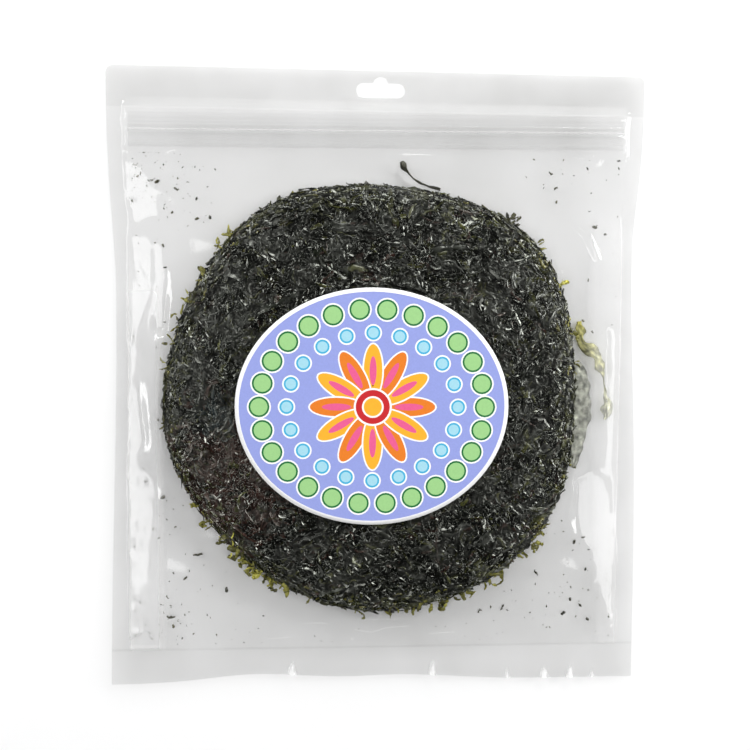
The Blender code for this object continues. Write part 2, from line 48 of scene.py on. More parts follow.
lens = bpy.data.cameras.new("camera")
lens.lens = 50
lens.sensor_width = 36
lens.clip_start = 0.01
camera = bpy.data.objects.new("camera", lens)
bpy.context.scene.collection.objects.link(camera)
camera_right = CAMERA_LOOKS.cross(CAMERA_UP).normalized()
camera_top = camera_right.cross(CAMERA_LOOKS).normalized()
camera.matrix_world = Matrix.Translation(CAMERA_PLACE) @ Matrix(
    (camera_right, camera_top, -CAMERA_LOOKS.normalized())
).transposed().to_4x4()
bpy.context.scene.camera = camera

# The studio: a broad pale table top under one silk, four low soft boxes that rake across the laver, three
# key boxes that its fronds glint in, two boxes that the film's folds mirror, and a pale room that is dimmer
# overhead.
TABLE_HALF = 3.0
TABLE_DROP = 0.0002
ROOM_FOOT = 0.006
ROOM_HEAD = 0.20
ROOM_HORIZON = 0.60
SILK_HEIGHT = 2.0
SILK_SIZE = 2.0
SILK_WATTS = 17
LOW_BOX_SIZE = (0.9, 0.25)
LOW_BOXES = (
    ("left_low_box", (-1.50, 0.10, 0.42), 5), ("right_low_box", (1.55, 0.10, 0.34), 7),
    ("head_low_box", (0.1, 1.60, 0.40), 9), ("foot_low_box", (-0.1, -1.55, 0.32), 1),
)
KEY_BOXES = (
    ("left_key_box", (-1.25, 0.80, 0.78), (0.55, 0.45), 7),
    ("right_key_box", (1.40, 0.45, 0.66), (0.60, 0.45), 10),
    ("head_key_box", (0.50, 1.30, 0.75), (0.70, 0.40), 7),
)
LEFT_FOLD_BOX = (-0.56, -0.08, 1.10)
RIGHT_FOLD_BOX = (0.74, -0.14, 1.05)
FOLD_BOX_LENGTH = 0.72
FOLD_BOX_WIDTH = 0.14
FOLD_BOX_WATTS = 1.2


def add_node(tree, kind, values=None, links=None, **options):
    """A node: its options, the values of its inputs, and the outputs that feed its other inputs."""
    made = tree.nodes.new("ShaderNode" + kind)
    for option, value in options.items():
        setattr(made, option, value)
    for socket, value in (values or {}).items():
        made.inputs[socket].default_value = value
    for socket, output in (links or {}).items():
        tree.links.new(output, made.inputs[socket])
    return made


def ranged(tree, source, low, high, start=0.0, end=1.0, **options):
    """A value between start and end, where the source runs from low to high."""
    values = {"From Min": low, "From Max": high, "To Min": start, "To Max": end}
    return add_node(tree, "MapRange", values, {"Value": source}, **options).outputs["Result"]


def table_top():
    plan = bpy.data.meshes.new("table_top")
    half = TABLE_HALF
    corners = [(x, y, -TABLE_DROP) for x, y in ((-half, -half), (half, -half), (half, half), (-half, half))]
    plan.from_pydata(corners, [], [(0, 1, 2, 3)])
    made = bpy.data.objects.new("table_top", plan)
    bpy.context.scene.collection.objects.link(made)
    finish = bpy.data.materials.new("table_white")
    finish.use_nodes = True
    shader = finish.node_tree.nodes["Principled BSDF"]
    shader.inputs["Base Color"].default_value = (0.93, 0.93, 0.93, 1)
    shader.inputs["Roughness"].default_value = 0.9
    shader.inputs["Specular IOR Level"].default_value = 0.1
    plan.materials.append(finish)


def soft_box(name, place, width, height, watts, mirrored=True, aim=(0, 0, 0)):
    lamp = bpy.data.lights.new(name, "AREA")
    lamp.shape = "RECTANGLE"
    lamp.size = width
    lamp.size_y = height
    lamp.energy = watts
    made = bpy.data.objects.new(name, lamp)
    bpy.context.scene.collection.objects.link(made)
    made.location = place
    made.rotation_euler = (Vector(aim) - Vector(place)).to_track_quat("-Z", "Y").to_euler()
    made.visible_glossy = mirrored


def room():
    """Pale at the horizon; overhead it brightens from the bag's foot to its head."""
    world = bpy.data.worlds.new("room")
    world.use_nodes = True
    tree = world.node_tree
    way = add_node(tree, "TexCoord").outputs["Generated"]
    split = add_node(tree, "SeparateXYZ", links={0: way}).outputs
    overhead = ranged(tree, split["Y"], -0.05, 0.45, ROOM_FOOT, ROOM_HEAD)
    rise = ranged(tree, split["Z"], 0.25, 0.50, interpolation_type="SMOOTHSTEP")
    blend = add_node(tree, "Mix", {"A": ROOM_HORIZON}, {"Factor": rise, "B": overhead})
    back = tree.nodes["Background"]
    tree.links.new(blend.outputs["Result"], back.inputs["Strength"])
    back.inputs["Color"].default_value = (1, 1, 1, 1)
    bpy.context.scene.world = world


table_top()
soft_box("overhead_silk", (0.0, 0.0, SILK_HEIGHT), SILK_SIZE, SILK_SIZE, SILK_WATTS, mirrored=False)
for name, place, watts in LOW_BOXES:
    soft_box(name, place, *LOW_BOX_SIZE, watts)
for name, place, size, watts in KEY_BOXES:
    soft_box(name, place, *size, watts)
for name, place in (("left_fold_box", LEFT_FOLD_BOX), ("right_fold_box", RIGHT_FOLD_BOX)):
    soft_box(name, place, FOLD_BOX_LENGTH, FOLD_BOX_WIDTH, FOLD_BOX_WATTS, aim=(0, place[1], 0))
room()
bpy.context.scene.view_settings.view_transform = "Standard"
bpy.context.scene.view_settings.look = "None"

# The laver cake's outline and crown: fronds packed into a round mould and dried. The film, the label and
# the fronds all follow them, so they come first.
CAKE_X = -0.0030
CAKE_Y = -0.0086
CAKE_RADIUS = 0.1182
CAKE_MID = 0.0050
CAKE_RISE = 0.0110
CAKE_FLOOR = 0.0008
RIM_LOBES = ((1, 0.0025, 0), (2, 0.0022, -84), (3, 0.0020, 53), (4, 0.0017, 38), (5, 0.0018, -28))


def rim_radius(angle):
    return CAKE_RADIUS + sum(size * np.cos(n * (angle - math.radians(first))) for n, size, first in RIM_LOBES)


def cake_top(share):
    return CAKE_MID + CAKE_RISE * np.cbrt(1 - np.minimum(share, 1.0) ** 5)


def cake_bottom(share):
    return CAKE_MID - (CAKE_MID - CAKE_FLOOR) * (1 - np.minimum(share, 1.0) ** 8) ** 0.25


def from_cake(x, y):
    """Distance from the cake's middle, the direction, and the rim's radius that way."""
    angle = np.arctan2(y - CAKE_Y, x - CAKE_X)
    return np.hypot(x - CAKE_X, y - CAKE_Y), angle, rim_radius(angle)


# The bag's back panel: clear film about 0.1 mm thick. It lies flat under the cake and lifts to the seals
# round it, where it is welded to the front panel. The sides are drawn in and the foot is wavy, because the
# bag is full.
BAG_WIDTH = 0.300
BAG_LENGTH = 0.345
FILM = 0.0005
FILM_MIRROR = 0.058
FILM_GREY = (0.70, 0.70, 0.69, 1)
DIMPLE_BEND = 0.014
DIMPLE_SCALE = 1050
DIMPLE_TILT = 0.12
CLING_ROUGHER = 0.28
CLING_DULLER = 0.85
SEAL_LIFT = 0.0022
BACK_FLAT = 1.05
BOTTOM_SEAL = 0.020
HEADER_ROUND = 0.0042
LEFT_WAIST = (0.0049, 0.045, 0.060, 0.155)
RIGHT_WAIST = (0.0052, 0.072, 0.042, 0.095)
BOTTOM_WAVES = ((0.0048, -0.066, 0.040), (0.0032, 0.016, 0.040))
POCKET_HALF = 0.1390
POCKET_LOW = -BAG_LENGTH / 2 + BOTTOM_SEAL
POCKET_HIGH = 0.1295
POCKET_CORNER = 9
SLOT_PLACE = (0.0004, 0.1617)
SLOT_RADIUS = 0.00405
SLOT_REACH = 0.00955
SLOT_BUMP = 0.0043
SLOT_BUMP_RISE = 0.0031
SLOT_SNAP = 0.00042
SLOT_PROBE = 0.0005


def side_edge(y, waist):
    depth, middle, up, down = waist
    return BAG_WIDTH / 2 - depth * np.exp(-(((y - middle) / np.where(y > middle, up, down)) ** 2))


def spaced(*stretches):
    """Places along a line, from stretches of start, end and spacing that follow each other."""
    parts = [np.linspace(a, b, max(2, round((b - a) / gap) + 1))[:-1] for a, b, gap in stretches]
    return np.concatenate(parts + [[stretches[-1][1]]])


def film_plan(columns, rows):
    """x and y of the film's points: columns and rows of a flat bag, drawn in as the full one is."""
    across, up = np.meshgrid(columns / (BAG_WIDTH / 2), rows)
    half = np.where(across < 0, side_edge(up, LEFT_WAIST), side_edge(up, RIGHT_WAIST))
    x, y = across * half, up.copy()
    foot = sum(rise * np.exp(-(((x - middle) / reach) ** 2)) for rise, middle, reach in BOTTOM_WAVES)
    y += foot * np.clip(1 - (up + BAG_LENGTH / 2) / BOTTOM_SEAL, 0, 1)
    top, side = BAG_LENGTH / 2 - HEADER_ROUND, half - HEADER_ROUND
    corner = (up > top) & (np.abs(x) > side)
    out, high = (np.abs(x) - side) / HEADER_ROUND, (up - top) / HEADER_ROUND
    turn = np.where(corner, np.maximum(out, high) / np.maximum(np.hypot(out, high), 1e-9), 1.0)
    x = np.where(corner, np.copysign(side + out * turn * HEADER_ROUND, x), x)
    y = np.where(corner, top + high * turn * HEADER_ROUND, y)
    return x, y


def slot_distance(x, y):
    """Distance outside the hang slot's outline: a bar with round ends and a round bump on top."""
    dx, dy = x - SLOT_PLACE[0], y - SLOT_PLACE[1]
    bar = np.hypot(np.maximum(np.abs(dx) - SLOT_REACH, 0), dy) - SLOT_RADIUS
    bump = np.hypot(dx, dy - SLOT_BUMP_RISE) - SLOT_BUMP
    return np.minimum(bar, bump)


def pocket_end(x, y):
    """Distance from the cake's middle, through each point, to the seals and the zip round the pocket."""
    dx, dy = x - CAKE_X, y - CAKE_Y
    dx, dy = np.where(np.abs(dx) < 1e-9, 1e-9, dx), np.where(np.abs(dy) < 1e-9, 1e-9, dy)
    along = (np.copysign(POCKET_HALF, dx) - CAKE_X) / dx
    up = (np.where(dy > 0, POCKET_HIGH, POCKET_LOW) - CAKE_Y) / dy
    return np.hypot(dx, dy) * (along**-POCKET_CORNER + up**-POCKET_CORNER) ** (-1 / POCKET_CORNER)


def eased(t):
    t = np.clip(t, 0, 1)
    return t * t * (3 - 2 * t)


def back_height(x, y):
    way, _, rim = from_cake(x, y)
    start, end = BACK_FLAT * rim, pocket_end(x, y)
    lift = eased((way - start) / np.maximum(end - start, 1e-6))
    return FILM / 2 + SEAL_LIFT * np.where(way >= end, 1.0, lift)


def ripples(x, y, draw, count, shortest, longest):
    """Slow random waves of film under a light pull, about 1 high in all."""
    height = np.zeros_like(x)
    for _ in range(count):
        heading, phase = draw.uniform(0, math.pi), draw.uniform(0, 2 * math.pi)
        run = draw.uniform(shortest, longest)
        height += np.sin(2 * math.pi * (x * math.cos(heading) + y * math.sin(heading)) / run + phase)
    return height / math.sqrt(count)


def film_sheet(name, x, y, z, marks):
    """A sheet through a grid of points, with the hang slot cut out. marks are numbers for the finish."""
    rows, columns = x.shape
    apart = slot_distance(x, y)
    grow_x = (slot_distance(x + SLOT_PROBE, y) - apart) / SLOT_PROBE
    grow_y = (slot_distance(x, y + SLOT_PROBE) - apart) / SLOT_PROBE
    near = np.abs(apart) < SLOT_SNAP
    x, y = np.where(near, x - apart * grow_x, x), np.where(near, y - apart * grow_y, y)
    index = np.arange(rows * columns).reshape(rows, columns)
    quads = np.stack((index[:-1, :-1], index[:-1, 1:], index[1:, 1:], index[1:, :-1]), axis=-1).reshape(-1, 4)
    apart = slot_distance(x, y).ravel()
    quads = quads[apart[quads].mean(axis=1) > 0.00002]
    used = np.unique(quads)
    renumber = np.full(rows * columns, -1)
    renumber[used] = np.arange(len(used))
    points = np.stack((x.ravel(), y.ravel(), z.ravel()), axis=-1)[used]
    mesh = bpy.data.meshes.new(name)
    mesh.from_pydata(points.tolist(), [], renumber[quads].tolist())
    mesh.shade_smooth()
    for mark, values in marks.items():
        layer = mesh.attributes.new(mark, "FLOAT", "POINT")
        layer.data.foreach_set("value", values.ravel()[used].astype(np.float32))
    made = bpy.data.objects.new(name, mesh)
    bpy.context.scene.collection.objects.link(made)
    return made


def clear_film(name, roughness, shine=FILM_MIRROR):
    """Clear glossy film: its grey mark tints what is behind it, as the film's own grey and as painted shade;
    its haze mark is a white bloom, as the film's own haze and as painted glare and painted glints; cling
    dulls its mirror.
    """
    finish = bpy.data.materials.new(name)
    finish.use_nodes = True
    tree = finish.node_tree
    tree.nodes.remove(tree.nodes["Principled BSDF"])
    smoke_and_shade, haze_and_glare, cling = (
        add_node(tree, "Attribute", attribute_name=mark).outputs["Fac"] for mark in ("smoke_and_shade", "haze_and_glare", "cling")
    )
    place = add_node(tree, "TexCoord").outputs["Object"]
    cloud = add_node(tree, "TexNoise", {"Scale": 30, "Detail": 4}, {"Vector": place}).outputs["Fac"]
    uneven = ranged(tree, cloud, 0.3, 0.7, 0.6, 1.4)
    patchy = add_node(tree, "Math", links={0: uneven, 1: smoke_and_shade}, operation="MULTIPLY").outputs["Value"]
    tint = add_node(tree, "Mix", {"A": (1, 1, 1, 1), "B": FILM_GREY}, {"Factor": patchy}, data_type="RGBA")
    clear = add_node(tree, "BsdfTransparent", links={"Color": tint.outputs["Result"]}).outputs["BSDF"]
    # The white bloom shows the haze mark: the film's own haze, and painted glare and painted glints where the
    # panel's marks put them.
    haze_and_glint_bloom = add_node(tree, "BsdfDiffuse", {"Color": (0.9, 0.9, 0.9, 1)}).outputs["BSDF"]
    body = add_node(tree, "MixShader", links={"Fac": haze_and_glare, 1: clear, 2: haze_and_glint_bloom}).outputs["Shader"]

    drift_map = add_node(tree, "TexNoise", {"Scale": 70}, {"Vector": place}).outputs["Color"]
    bent = add_node(
        tree, "VectorMath", {1: (DIMPLE_BEND,) * 3}, {0: drift_map, 2: place}, operation="MULTIPLY_ADD",
    ).outputs["Vector"]
    along = add_node(
        tree, "Mapping", {"Rotation": (0, 0, 0.6), "Scale": (0.38, 1.0, 1.0)}, {"Vector": bent},
    ).outputs["Vector"]
    dimples = add_node(tree, "TexVoronoi", {"Scale": DIMPLE_SCALE}, {"Vector": along}).outputs["Color"]
    tilt = add_node(tree, "VectorMath", {1: (0.5,) * 3}, {0: dimples}, operation="SUBTRACT").outputs["Vector"]
    held = add_node(tree, "VectorMath", None, {0: tilt, "Scale": cling}, operation="SCALE").outputs["Vector"]
    facing = add_node(tree, "NewGeometry").outputs["Normal"]
    dented = add_node(
        tree, "VectorMath", {1: (DIMPLE_TILT,) * 3}, {0: held, 2: facing}, operation="MULTIPLY_ADD",
    ).outputs["Vector"]
    level = add_node(tree, "VectorMath", None, {0: dented}, operation="NORMALIZE").outputs["Vector"]
    broken = add_node(tree, "Math", {1: CLING_ROUGHER, 2: roughness}, {0: cling}, operation="MULTIPLY_ADD")
    gloss = add_node(tree, "BsdfGlossy", None, {"Roughness": broken.outputs["Value"], "Normal": level})

    slant = add_node(tree, "LayerWeight", {"Blend": 0.5}).outputs["Facing"]
    steep = add_node(tree, "Math", {1: 5}, {0: slant}, operation="POWER").outputs["Value"]
    mirror = add_node(tree, "Math", {1: 1 - shine, 2: shine}, {0: steep}, operation="MULTIPLY_ADD")
    kept = add_node(tree, "Math", {1: -CLING_DULLER, 2: 1}, {0: cling}, operation="MULTIPLY_ADD")
    both = {0: mirror.outputs["Value"], 1: kept.outputs["Value"]}
    left = add_node(tree, "Math", None, both, operation="MULTIPLY").outputs["Value"]
    surface = add_node(tree, "MixShader", None, {"Fac": left, 1: body, 2: gloss.outputs["BSDF"]})
    tree.links.new(surface.outputs["Shader"], tree.nodes["Material Output"].inputs["Surface"])
    return finish


def back_film():
    columns = spaced((-0.150, -0.016, 0.0030), (-0.016, 0.017, 0.0007), (0.017, 0.150, 0.0030))
    rows = spaced((-0.1725, -0.148, 0.0020), (-0.148, 0.155, 0.0034), (0.155, 0.1725, 0.0007))
    x, y = film_plan(columns, rows)
    z = back_height(x, y)
    pocket = np.clip((z - FILM / 2) / SEAL_LIFT, 0, 1) * (z < FILM / 2 + SEAL_LIFT * 0.98)
    z = z + 0.00018 * pocket * ripples(x, y, np.random.default_rng(4), 6, 0.016, 0.040)
    made = film_sheet("back_panel", x, y, z, {"smoke_and_shade": 0.05 + 0 * x, "haze_and_glare": 0.004 + 0 * x, "cling": 0 * x})
    made.data.materials.append(clear_film("back_film_clear", 0.14))
    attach(made, "root")
    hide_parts("back_film")
    return made


back_panel = back_film()

# The fronds: thin laver, curled and crinkled as it dried, laid round the cake by hand, one across another.
# The broad ones are crumpled sheets, and the narrow ones are three-sided ribbons. They run from green-black
# to olive.
FROND_TOP = 0.0020
FROND_CAP = 0.0012
SHEET_CAP = FROND_CAP - 0.0005
LABEL_COVER = 0.93
RIM_HOLD = 0.985
RIM_SLACK = 0.18
LABEL_PLACE = (-0.0037, -0.0130)
LABEL_HALF = (0.0755, 0.0655)
BLACK_GREEN = (0.0014, 0.0018, 0.0009)
DEEP_OLIVE = (0.042, 0.044, 0.010)
MAROON = (0.026, 0.010, 0.007)
BLUE_BLACK = (0.006, 0.012, 0.014)
BRIGHT_OLIVE = (0.22, 0.20, 0.030)
MAROON_PATCH = (-0.079, -0.049, 0.026, 0.034)
BLUE_PATCH = (-0.088, -0.019, 0.012, 0.010)


def shape_mesh(name, points, faces, tints=None):
    """A mesh object from arrays. tints is a colour for each point."""
    mesh = bpy.data.meshes.new(name)
    mesh.vertices.add(len(points))
    mesh.vertices.foreach_set("co", np.asarray(points, dtype=np.float32).ravel())
    count, sides = faces.shape
    mesh.loops.add(count * sides)
    mesh.loops.foreach_set("vertex_index", faces.astype(np.int32).ravel())
    mesh.polygons.add(count)
    mesh.polygons.foreach_set("loop_start", np.arange(0, count * sides, sides, dtype=np.int32))
    mesh.update(calc_edges=True)
    if tints is not None:
        layer = mesh.attributes.new("tint", "FLOAT_COLOR", "POINT")
        rgba = np.concatenate((tints, np.ones((len(points), 1))), axis=1)
        layer.data.foreach_set("color", rgba.astype(np.float32).ravel())
    made = bpy.data.objects.new(name, mesh)
    bpy.context.scene.collection.objects.link(made)
    return made


def frond_sides(paths, rolls):
    """Directions sideways and up from each frond's line, turned by its roll."""
    run = np.gradient(paths, axis=1)
    run /= np.maximum(np.linalg.norm(run, axis=2, keepdims=True), 1e-9)
    side = np.stack((-run[..., 1], run[..., 0], np.zeros(paths.shape[:2])), axis=-1)
    side /= np.maximum(np.linalg.norm(side, axis=2, keepdims=True), 1e-9)
    up = np.cross(run, side)
    turn, lift = np.cos(rolls)[..., None], np.sin(rolls)[..., None]
    return turn * side + lift * up, turn * up - lift * side


def ribbons(name, paths, widths, thick, rolls, tints):
    """Closed three-sided ribbons: paths is ribbon by ring by xyz, widths and rolls are ribbon by ring."""
    count, rings, _ = paths.shape
    side, up = frond_sides(paths, rolls)
    half = side * widths[..., None] / 2
    ridge = up * (thick[:, None] * np.minimum(1, widths / widths.mean(axis=1, keepdims=True)))[..., None]
    points = np.stack((paths - half, paths + half, paths + ridge), axis=2).reshape(-1, 3)
    base = (np.arange(count)[:, None] * rings + np.arange(rings - 1)) * 3
    faces = []
    for a, b in ((0, 1), (1, 2), (2, 0)):
        faces.append(np.stack((base + b, base + a, base + 3 + a), axis=-1).reshape(-1, 3))
        faces.append(np.stack((base + b, base + 3 + a, base + 3 + b), axis=-1).reshape(-1, 3))
    first, last = base[:, 0], base[:, -1] + 3
    faces.append(np.stack((first, first + 1, first + 2), axis=-1))
    faces.append(np.stack((last + 2, last + 1, last), axis=-1))
    colours = np.repeat(tints, rings * 3, axis=0)
    return shape_mesh(name, points, np.concatenate(faces), colours)


def sheets(name, draw, paths, widths, crumple, rolls, tints):
    """Thin sheets, four points across, pleated along and crumpled: paths is sheet by ring by xyz."""
    count, rings, _ = paths.shape
    side, up = frond_sides(paths, rolls)
    over = np.array((-0.5, -0.17, 0.17, 0.5))
    spread = over * widths[..., None] * draw.uniform(0.8, 1.2, (count, rings, 4))
    cup = draw.normal(0, 0.5, (count, 1, 1)) * widths[..., None] * over**2
    dents = draw.normal(0, crumple, (count, rings + 1, 4))
    rise = draw.normal(0, crumple, (count, 1, 4)) + (dents[:, 1:] + dents[:, :-1]) / 2 + cup
    points = paths[:, :, None] + side[:, :, None] * spread[..., None] + up[:, :, None] * rise[..., None]
    base = (np.arange(count)[:, None, None] * rings + np.arange(rings - 1)[:, None]) * 4 + np.arange(3)
    faces = [np.stack((base, base + 1, base + 5), axis=-1).reshape(-1, 3)]
    faces.append(np.stack((base, base + 5, base + 4), axis=-1).reshape(-1, 3))
    colours = np.repeat(tints, rings * 4, axis=0)
    return shape_mesh(name, points.reshape(-1, 3), np.concatenate(faces), colours)


def laver_finish(name, roughness, glow, opacity=1.0):
    """Dried laver: satin, finely crinkled; glow is the share of light that thin fronds let through."""
    finish = bpy.data.materials.new(name)
    finish.use_nodes = True
    tree = finish.node_tree
    shader = tree.nodes["Principled BSDF"]
    shader.inputs["Specular IOR Level"].default_value = 0.75
    shader.inputs["IOR"].default_value = 1.8
    shader.inputs["Specular Tint"].default_value = (0.97, 1.0, 0.90, 1)
    shader.inputs["Alpha"].default_value = opacity
    tint = add_node(tree, "Attribute", attribute_name="tint").outputs["Color"]
    place = {"Vector": add_node(tree, "TexCoord").outputs["Object"]}
    blotch = add_node(tree, "TexNoise", {"Scale": 420, "Detail": 3}, place).outputs["Fac"]
    depth = ranged(tree, blotch, 0.3, 0.7, 0.55, 1.35)
    shaded = add_node(tree, "VectorMath", None, {0: tint, "Scale": depth}, operation="SCALE")
    colour = shaded.outputs["Vector"]
    crinkle = add_node(tree, "TexNoise", {"Scale": 1300, "Detail": 2}, place).outputs["Fac"]
    bump = add_node(tree, "Bump", {"Strength": 0.30, "Distance": 0.00012}, {"Height": crinkle})
    dull = ranged(tree, blotch, 0, 1, roughness - 0.08, roughness + 0.08)
    salted = add_node(tree, "TexNoise", {"Scale": 75, "Detail": 3}, place).outputs["Fac"]
    bloomed = ranged(tree, salted, 0.46, 0.60, 0, 0.22)
    dulled = add_node(tree, "Math", None, {0: dull, 1: bloomed}).outputs["Value"]
    for socket, output in (("Base Color", colour), ("Normal", bump.outputs["Normal"]), ("Roughness", dulled)):
        tree.links.new(output, shader.inputs[socket])
    if glow:
        through = add_node(tree, "BsdfTranslucent", None, {"Color": colour}).outputs["BSDF"]
        surface = add_node(tree, "MixShader", {"Fac": glow}, {1: shader.outputs["BSDF"], 2: through})
        tree.links.new(surface.outputs["Shader"], tree.nodes["Material Output"].inputs["Surface"])
    return finish


def inside(patch, x, y):
    """1 in the middle of an oval patch, falling to 0 past its edge."""
    cx, cy, rx, ry = patch
    return np.clip(1.6 - np.hypot((x - cx) / rx, (y - cy) / ry), 0, 1)


def frond_tints(draw, x, y):
    """A colour for each frond: green-black, with maroon and blue-black in patches and olive at the rim."""
    way, _, rim = from_cake(x, y)
    count = len(x)
    pick = draw.uniform(0, 1, count)
    tints = np.array(BLACK_GREEN) * np.clip(draw.lognormal(0.0, 0.85, count), 0.15, 8)[:, None]
    olive = pick < 0.07 + 0.36 * eased((way / rim - 0.88) / 0.12)
    maroon = pick > 1 - 0.75 * inside(MAROON_PATCH, x, y) - 0.04
    blue = pick > 1 - 0.6 * inside(BLUE_PATCH, x, y)
    for chosen, colour in ((olive, DEEP_OLIVE), (maroon, MAROON), (blue, BLUE_BLACK)):
        tints[chosen] = np.array(colour) * draw.uniform(0.6, 1.5, chosen.sum())[:, None]
    return tints


def laid_paths(draw, x, y, heading, length, bend, rings, wander):
    """Curved lines of that length through each place, seen from above and drawn in at the cake's rim."""
    step = np.linspace(-0.5, 0.5, rings)
    turn = heading[:, None] + bend[:, None] * step + draw.normal(0, wander, (len(x), rings))
    gap = (length / (rings - 1))[:, None]
    run_x, run_y = np.cumsum(np.cos(turn) * gap, axis=1), np.cumsum(np.sin(turn) * gap, axis=1)
    run_x += (x - run_x.mean(axis=1))[:, None]
    run_y += (y - run_y.mean(axis=1))[:, None]
    way, angle, rim = from_cake(run_x, run_y)
    edge = RIM_HOLD * rim
    way = np.where(way > edge, edge + RIM_SLACK * (way - edge), way)
    return CAKE_X + way * np.cos(angle), CAKE_Y + way * np.sin(angle)


def top_places(draw, count, outer):
    """Places on the cake's top, none of them well under the label."""
    found_x, found_y = [], []
    while sum(len(part) for part in found_x) < count:
        share = np.sqrt(draw.uniform(0, outer**2, count))
        angle = draw.uniform(-math.pi, math.pi, count)
        reach = share * rim_radius(angle)
        x, y = CAKE_X + reach * np.cos(angle), CAKE_Y + reach * np.sin(angle)
        off_x, off_y = (x - LABEL_PLACE[0]) / LABEL_HALF[0], (y - LABEL_PLACE[1]) / LABEL_HALF[1]
        off = np.hypot(off_x, off_y) > LABEL_COVER
        found_x.append(x[off])
        found_y.append(y[off])
    return np.concatenate(found_x)[:count], np.concatenate(found_y)[:count]


def top_runs(draw, count, outer, turning, length, bend, rings, wander):
    """Lines on the cake's top, mostly along arcs round it: their places, the lines, and the crown there."""
    x, y = top_places(draw, count, outer)
    _, angle, _ = from_cake(x, y)
    heading = angle + math.pi / 2 + draw.normal(0, turning, count)
    heading += math.pi * (draw.uniform(0, 1, count) < 0.5)
    long = draw.uniform(*length, count)
    run_x, run_y = laid_paths(draw, x, y, heading, long, draw.normal(0, bend, count), rings, wander)
    way, _, rim = from_cake(run_x, run_y)
    return x, y, run_x, run_y, cake_top(way / rim)


def laid_fronds(name, seed, count, length, width, rings, lift, crinkle, turning, roll, wander):
    """Narrow fronds on the cake's top; lift is their height from the crown, low to high."""
    draw = np.random.default_rng(seed)
    x, y, run_x, run_y, crown = top_runs(draw, count, 0.992, turning, length, 0.9, rings, wander)
    high = crown + draw.uniform(*lift, count)[:, None] + draw.normal(0, crinkle, run_x.shape)
    high = np.minimum(high, crown + FROND_CAP)
    wide = draw.uniform(*width, count)[:, None] * draw.uniform(0.65, 1.25, run_x.shape)
    wide *= np.where(np.arange(rings) % (rings - 1) == 0, 0.35, 1.0)
    rolls = draw.normal(0, roll, (count, 1)) + draw.normal(0, 0.5, run_x.shape)
    paths = np.stack((run_x, run_y, high), axis=-1)
    return ribbons(name, paths, wide, 0.32 * wide.mean(axis=1), rolls, frond_tints(draw, x, y))


def crumpled_fronds(name, seed, count, length, width, rings, lift, crumple, turning):
    """Broad fronds on the cake's top, crumpled as they dried; lift is their height from the crown."""
    draw = np.random.default_rng(seed)
    x, y, run_x, run_y, crown = top_runs(draw, count, 0.985, turning, length, 1.2, rings, 0.22)
    high = crown + draw.uniform(*lift, count)[:, None] + draw.normal(0, 0.5 * crumple, run_x.shape)
    high = np.minimum(high, crown + SHEET_CAP)
    wide = draw.uniform(*width, count)[:, None] * draw.uniform(0.6, 1.3, run_x.shape)
    wide *= np.where(np.arange(rings) % (rings - 1) == 0, 0.4, 1.0)
    rolls = draw.normal(0, 0.30, (count, 1)) + draw.normal(0, 0.15, run_x.shape)
    paths = np.stack((run_x, run_y, high), axis=-1)
    return sheets(name, draw, paths, wide, crumple, rolls, frond_tints(draw, x, y))


def cake_bed():
    """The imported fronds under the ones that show: a closed body, rough all over, just under the surface."""
    draw = np.random.default_rng(21)
    sides = 180
    angle = np.linspace(0, 2 * math.pi, sides, endpoint=False)
    over = np.concatenate((np.linspace(0.02, 0.9, 36), [0.92, 0.94, 0.96, 0.975, 0.985]))
    under = np.concatenate(([0.985, 0.96, 0.93], np.linspace(0.88, 0.04, 20)))
    rings = []
    edge = np.array([0.99])
    for shares, height, way_up in ((over, cake_top, -1), (edge, cake_top, 0), (under, cake_bottom, 1)):
        for share in shares:
            reach = share * rim_radius(angle) * (1 + draw.normal(0, 0.0022, sides) * share)
            x, y = CAKE_X + reach * np.cos(angle), CAKE_Y + reach * np.sin(angle)
            sunk = 0.0012 if way_up < 0 else 0.0003
            z = height(share) + way_up * (sunk + 0.0009 * draw.uniform(0, 1, sides))
            rings.append(np.stack((x, y, z), axis=-1))
    rings = np.array(rings)
    middles = [[CAKE_X, CAKE_Y, cake_top(0) - 0.0015], [CAKE_X, CAKE_Y, 0.0011]]
    points = np.concatenate((rings.reshape(-1, 3), middles))
    index = np.arange(len(rings) * sides).reshape(-1, sides)
    after = np.roll(index, -1, axis=1)
    a, b, c, d = index[:-1], after[:-1], after[1:], index[1:]
    faces = [np.stack((a, c, b), axis=-1).reshape(-1, 3), np.stack((a, d, c), axis=-1).reshape(-1, 3)]
    middle = np.full(sides, len(points) - 2)
    faces.append(np.stack((middle, index[0], after[0]), axis=-1))
    faces.append(np.stack((middle + 1, after[-1], index[-1]), axis=-1))
    tints = np.array(BLACK_GREEN) * 0.55 * draw.uniform(0.6, 1.4, len(points))[:, None]
    return shape_mesh("packed_fronds", points, np.concatenate(faces), tints)


def under_fronds():
    """Fronds on the cake's underside, pressed flat on the back panel."""
    draw = np.random.default_rng(37)
    count, rings = 2100, 6
    share, angle = np.sqrt(draw.uniform(0, 0.97, count)), draw.uniform(-math.pi, math.pi, count)
    reach = share * rim_radius(angle)
    x, y = CAKE_X + reach * np.cos(angle), CAKE_Y + reach * np.sin(angle)
    heading = angle + math.pi / 2 + draw.normal(0, 0.9, count)
    long = draw.uniform(0.010, 0.022, count)
    run_x, run_y = laid_paths(draw, x, y, heading, long, draw.normal(0, 0.9, count), rings, 0.2)
    way, _, rim = from_cake(run_x, run_y)
    high = cake_bottom(way / rim) + 0.0005 + draw.uniform(0, 0.0011, count)[:, None]
    high += np.abs(draw.normal(0, 0.0003, run_x.shape))
    wide = draw.uniform(0.0014, 0.0032, count)[:, None] * draw.uniform(0.6, 1.2, run_x.shape)
    rolls = math.pi + draw.normal(0, 0.25, run_x.shape)
    paths = np.stack((run_x, run_y, high), axis=-1)
    return ribbons("under_fronds", paths, wide, 0.25 * wide.mean(axis=1), rolls, frond_tints(draw, x, y))


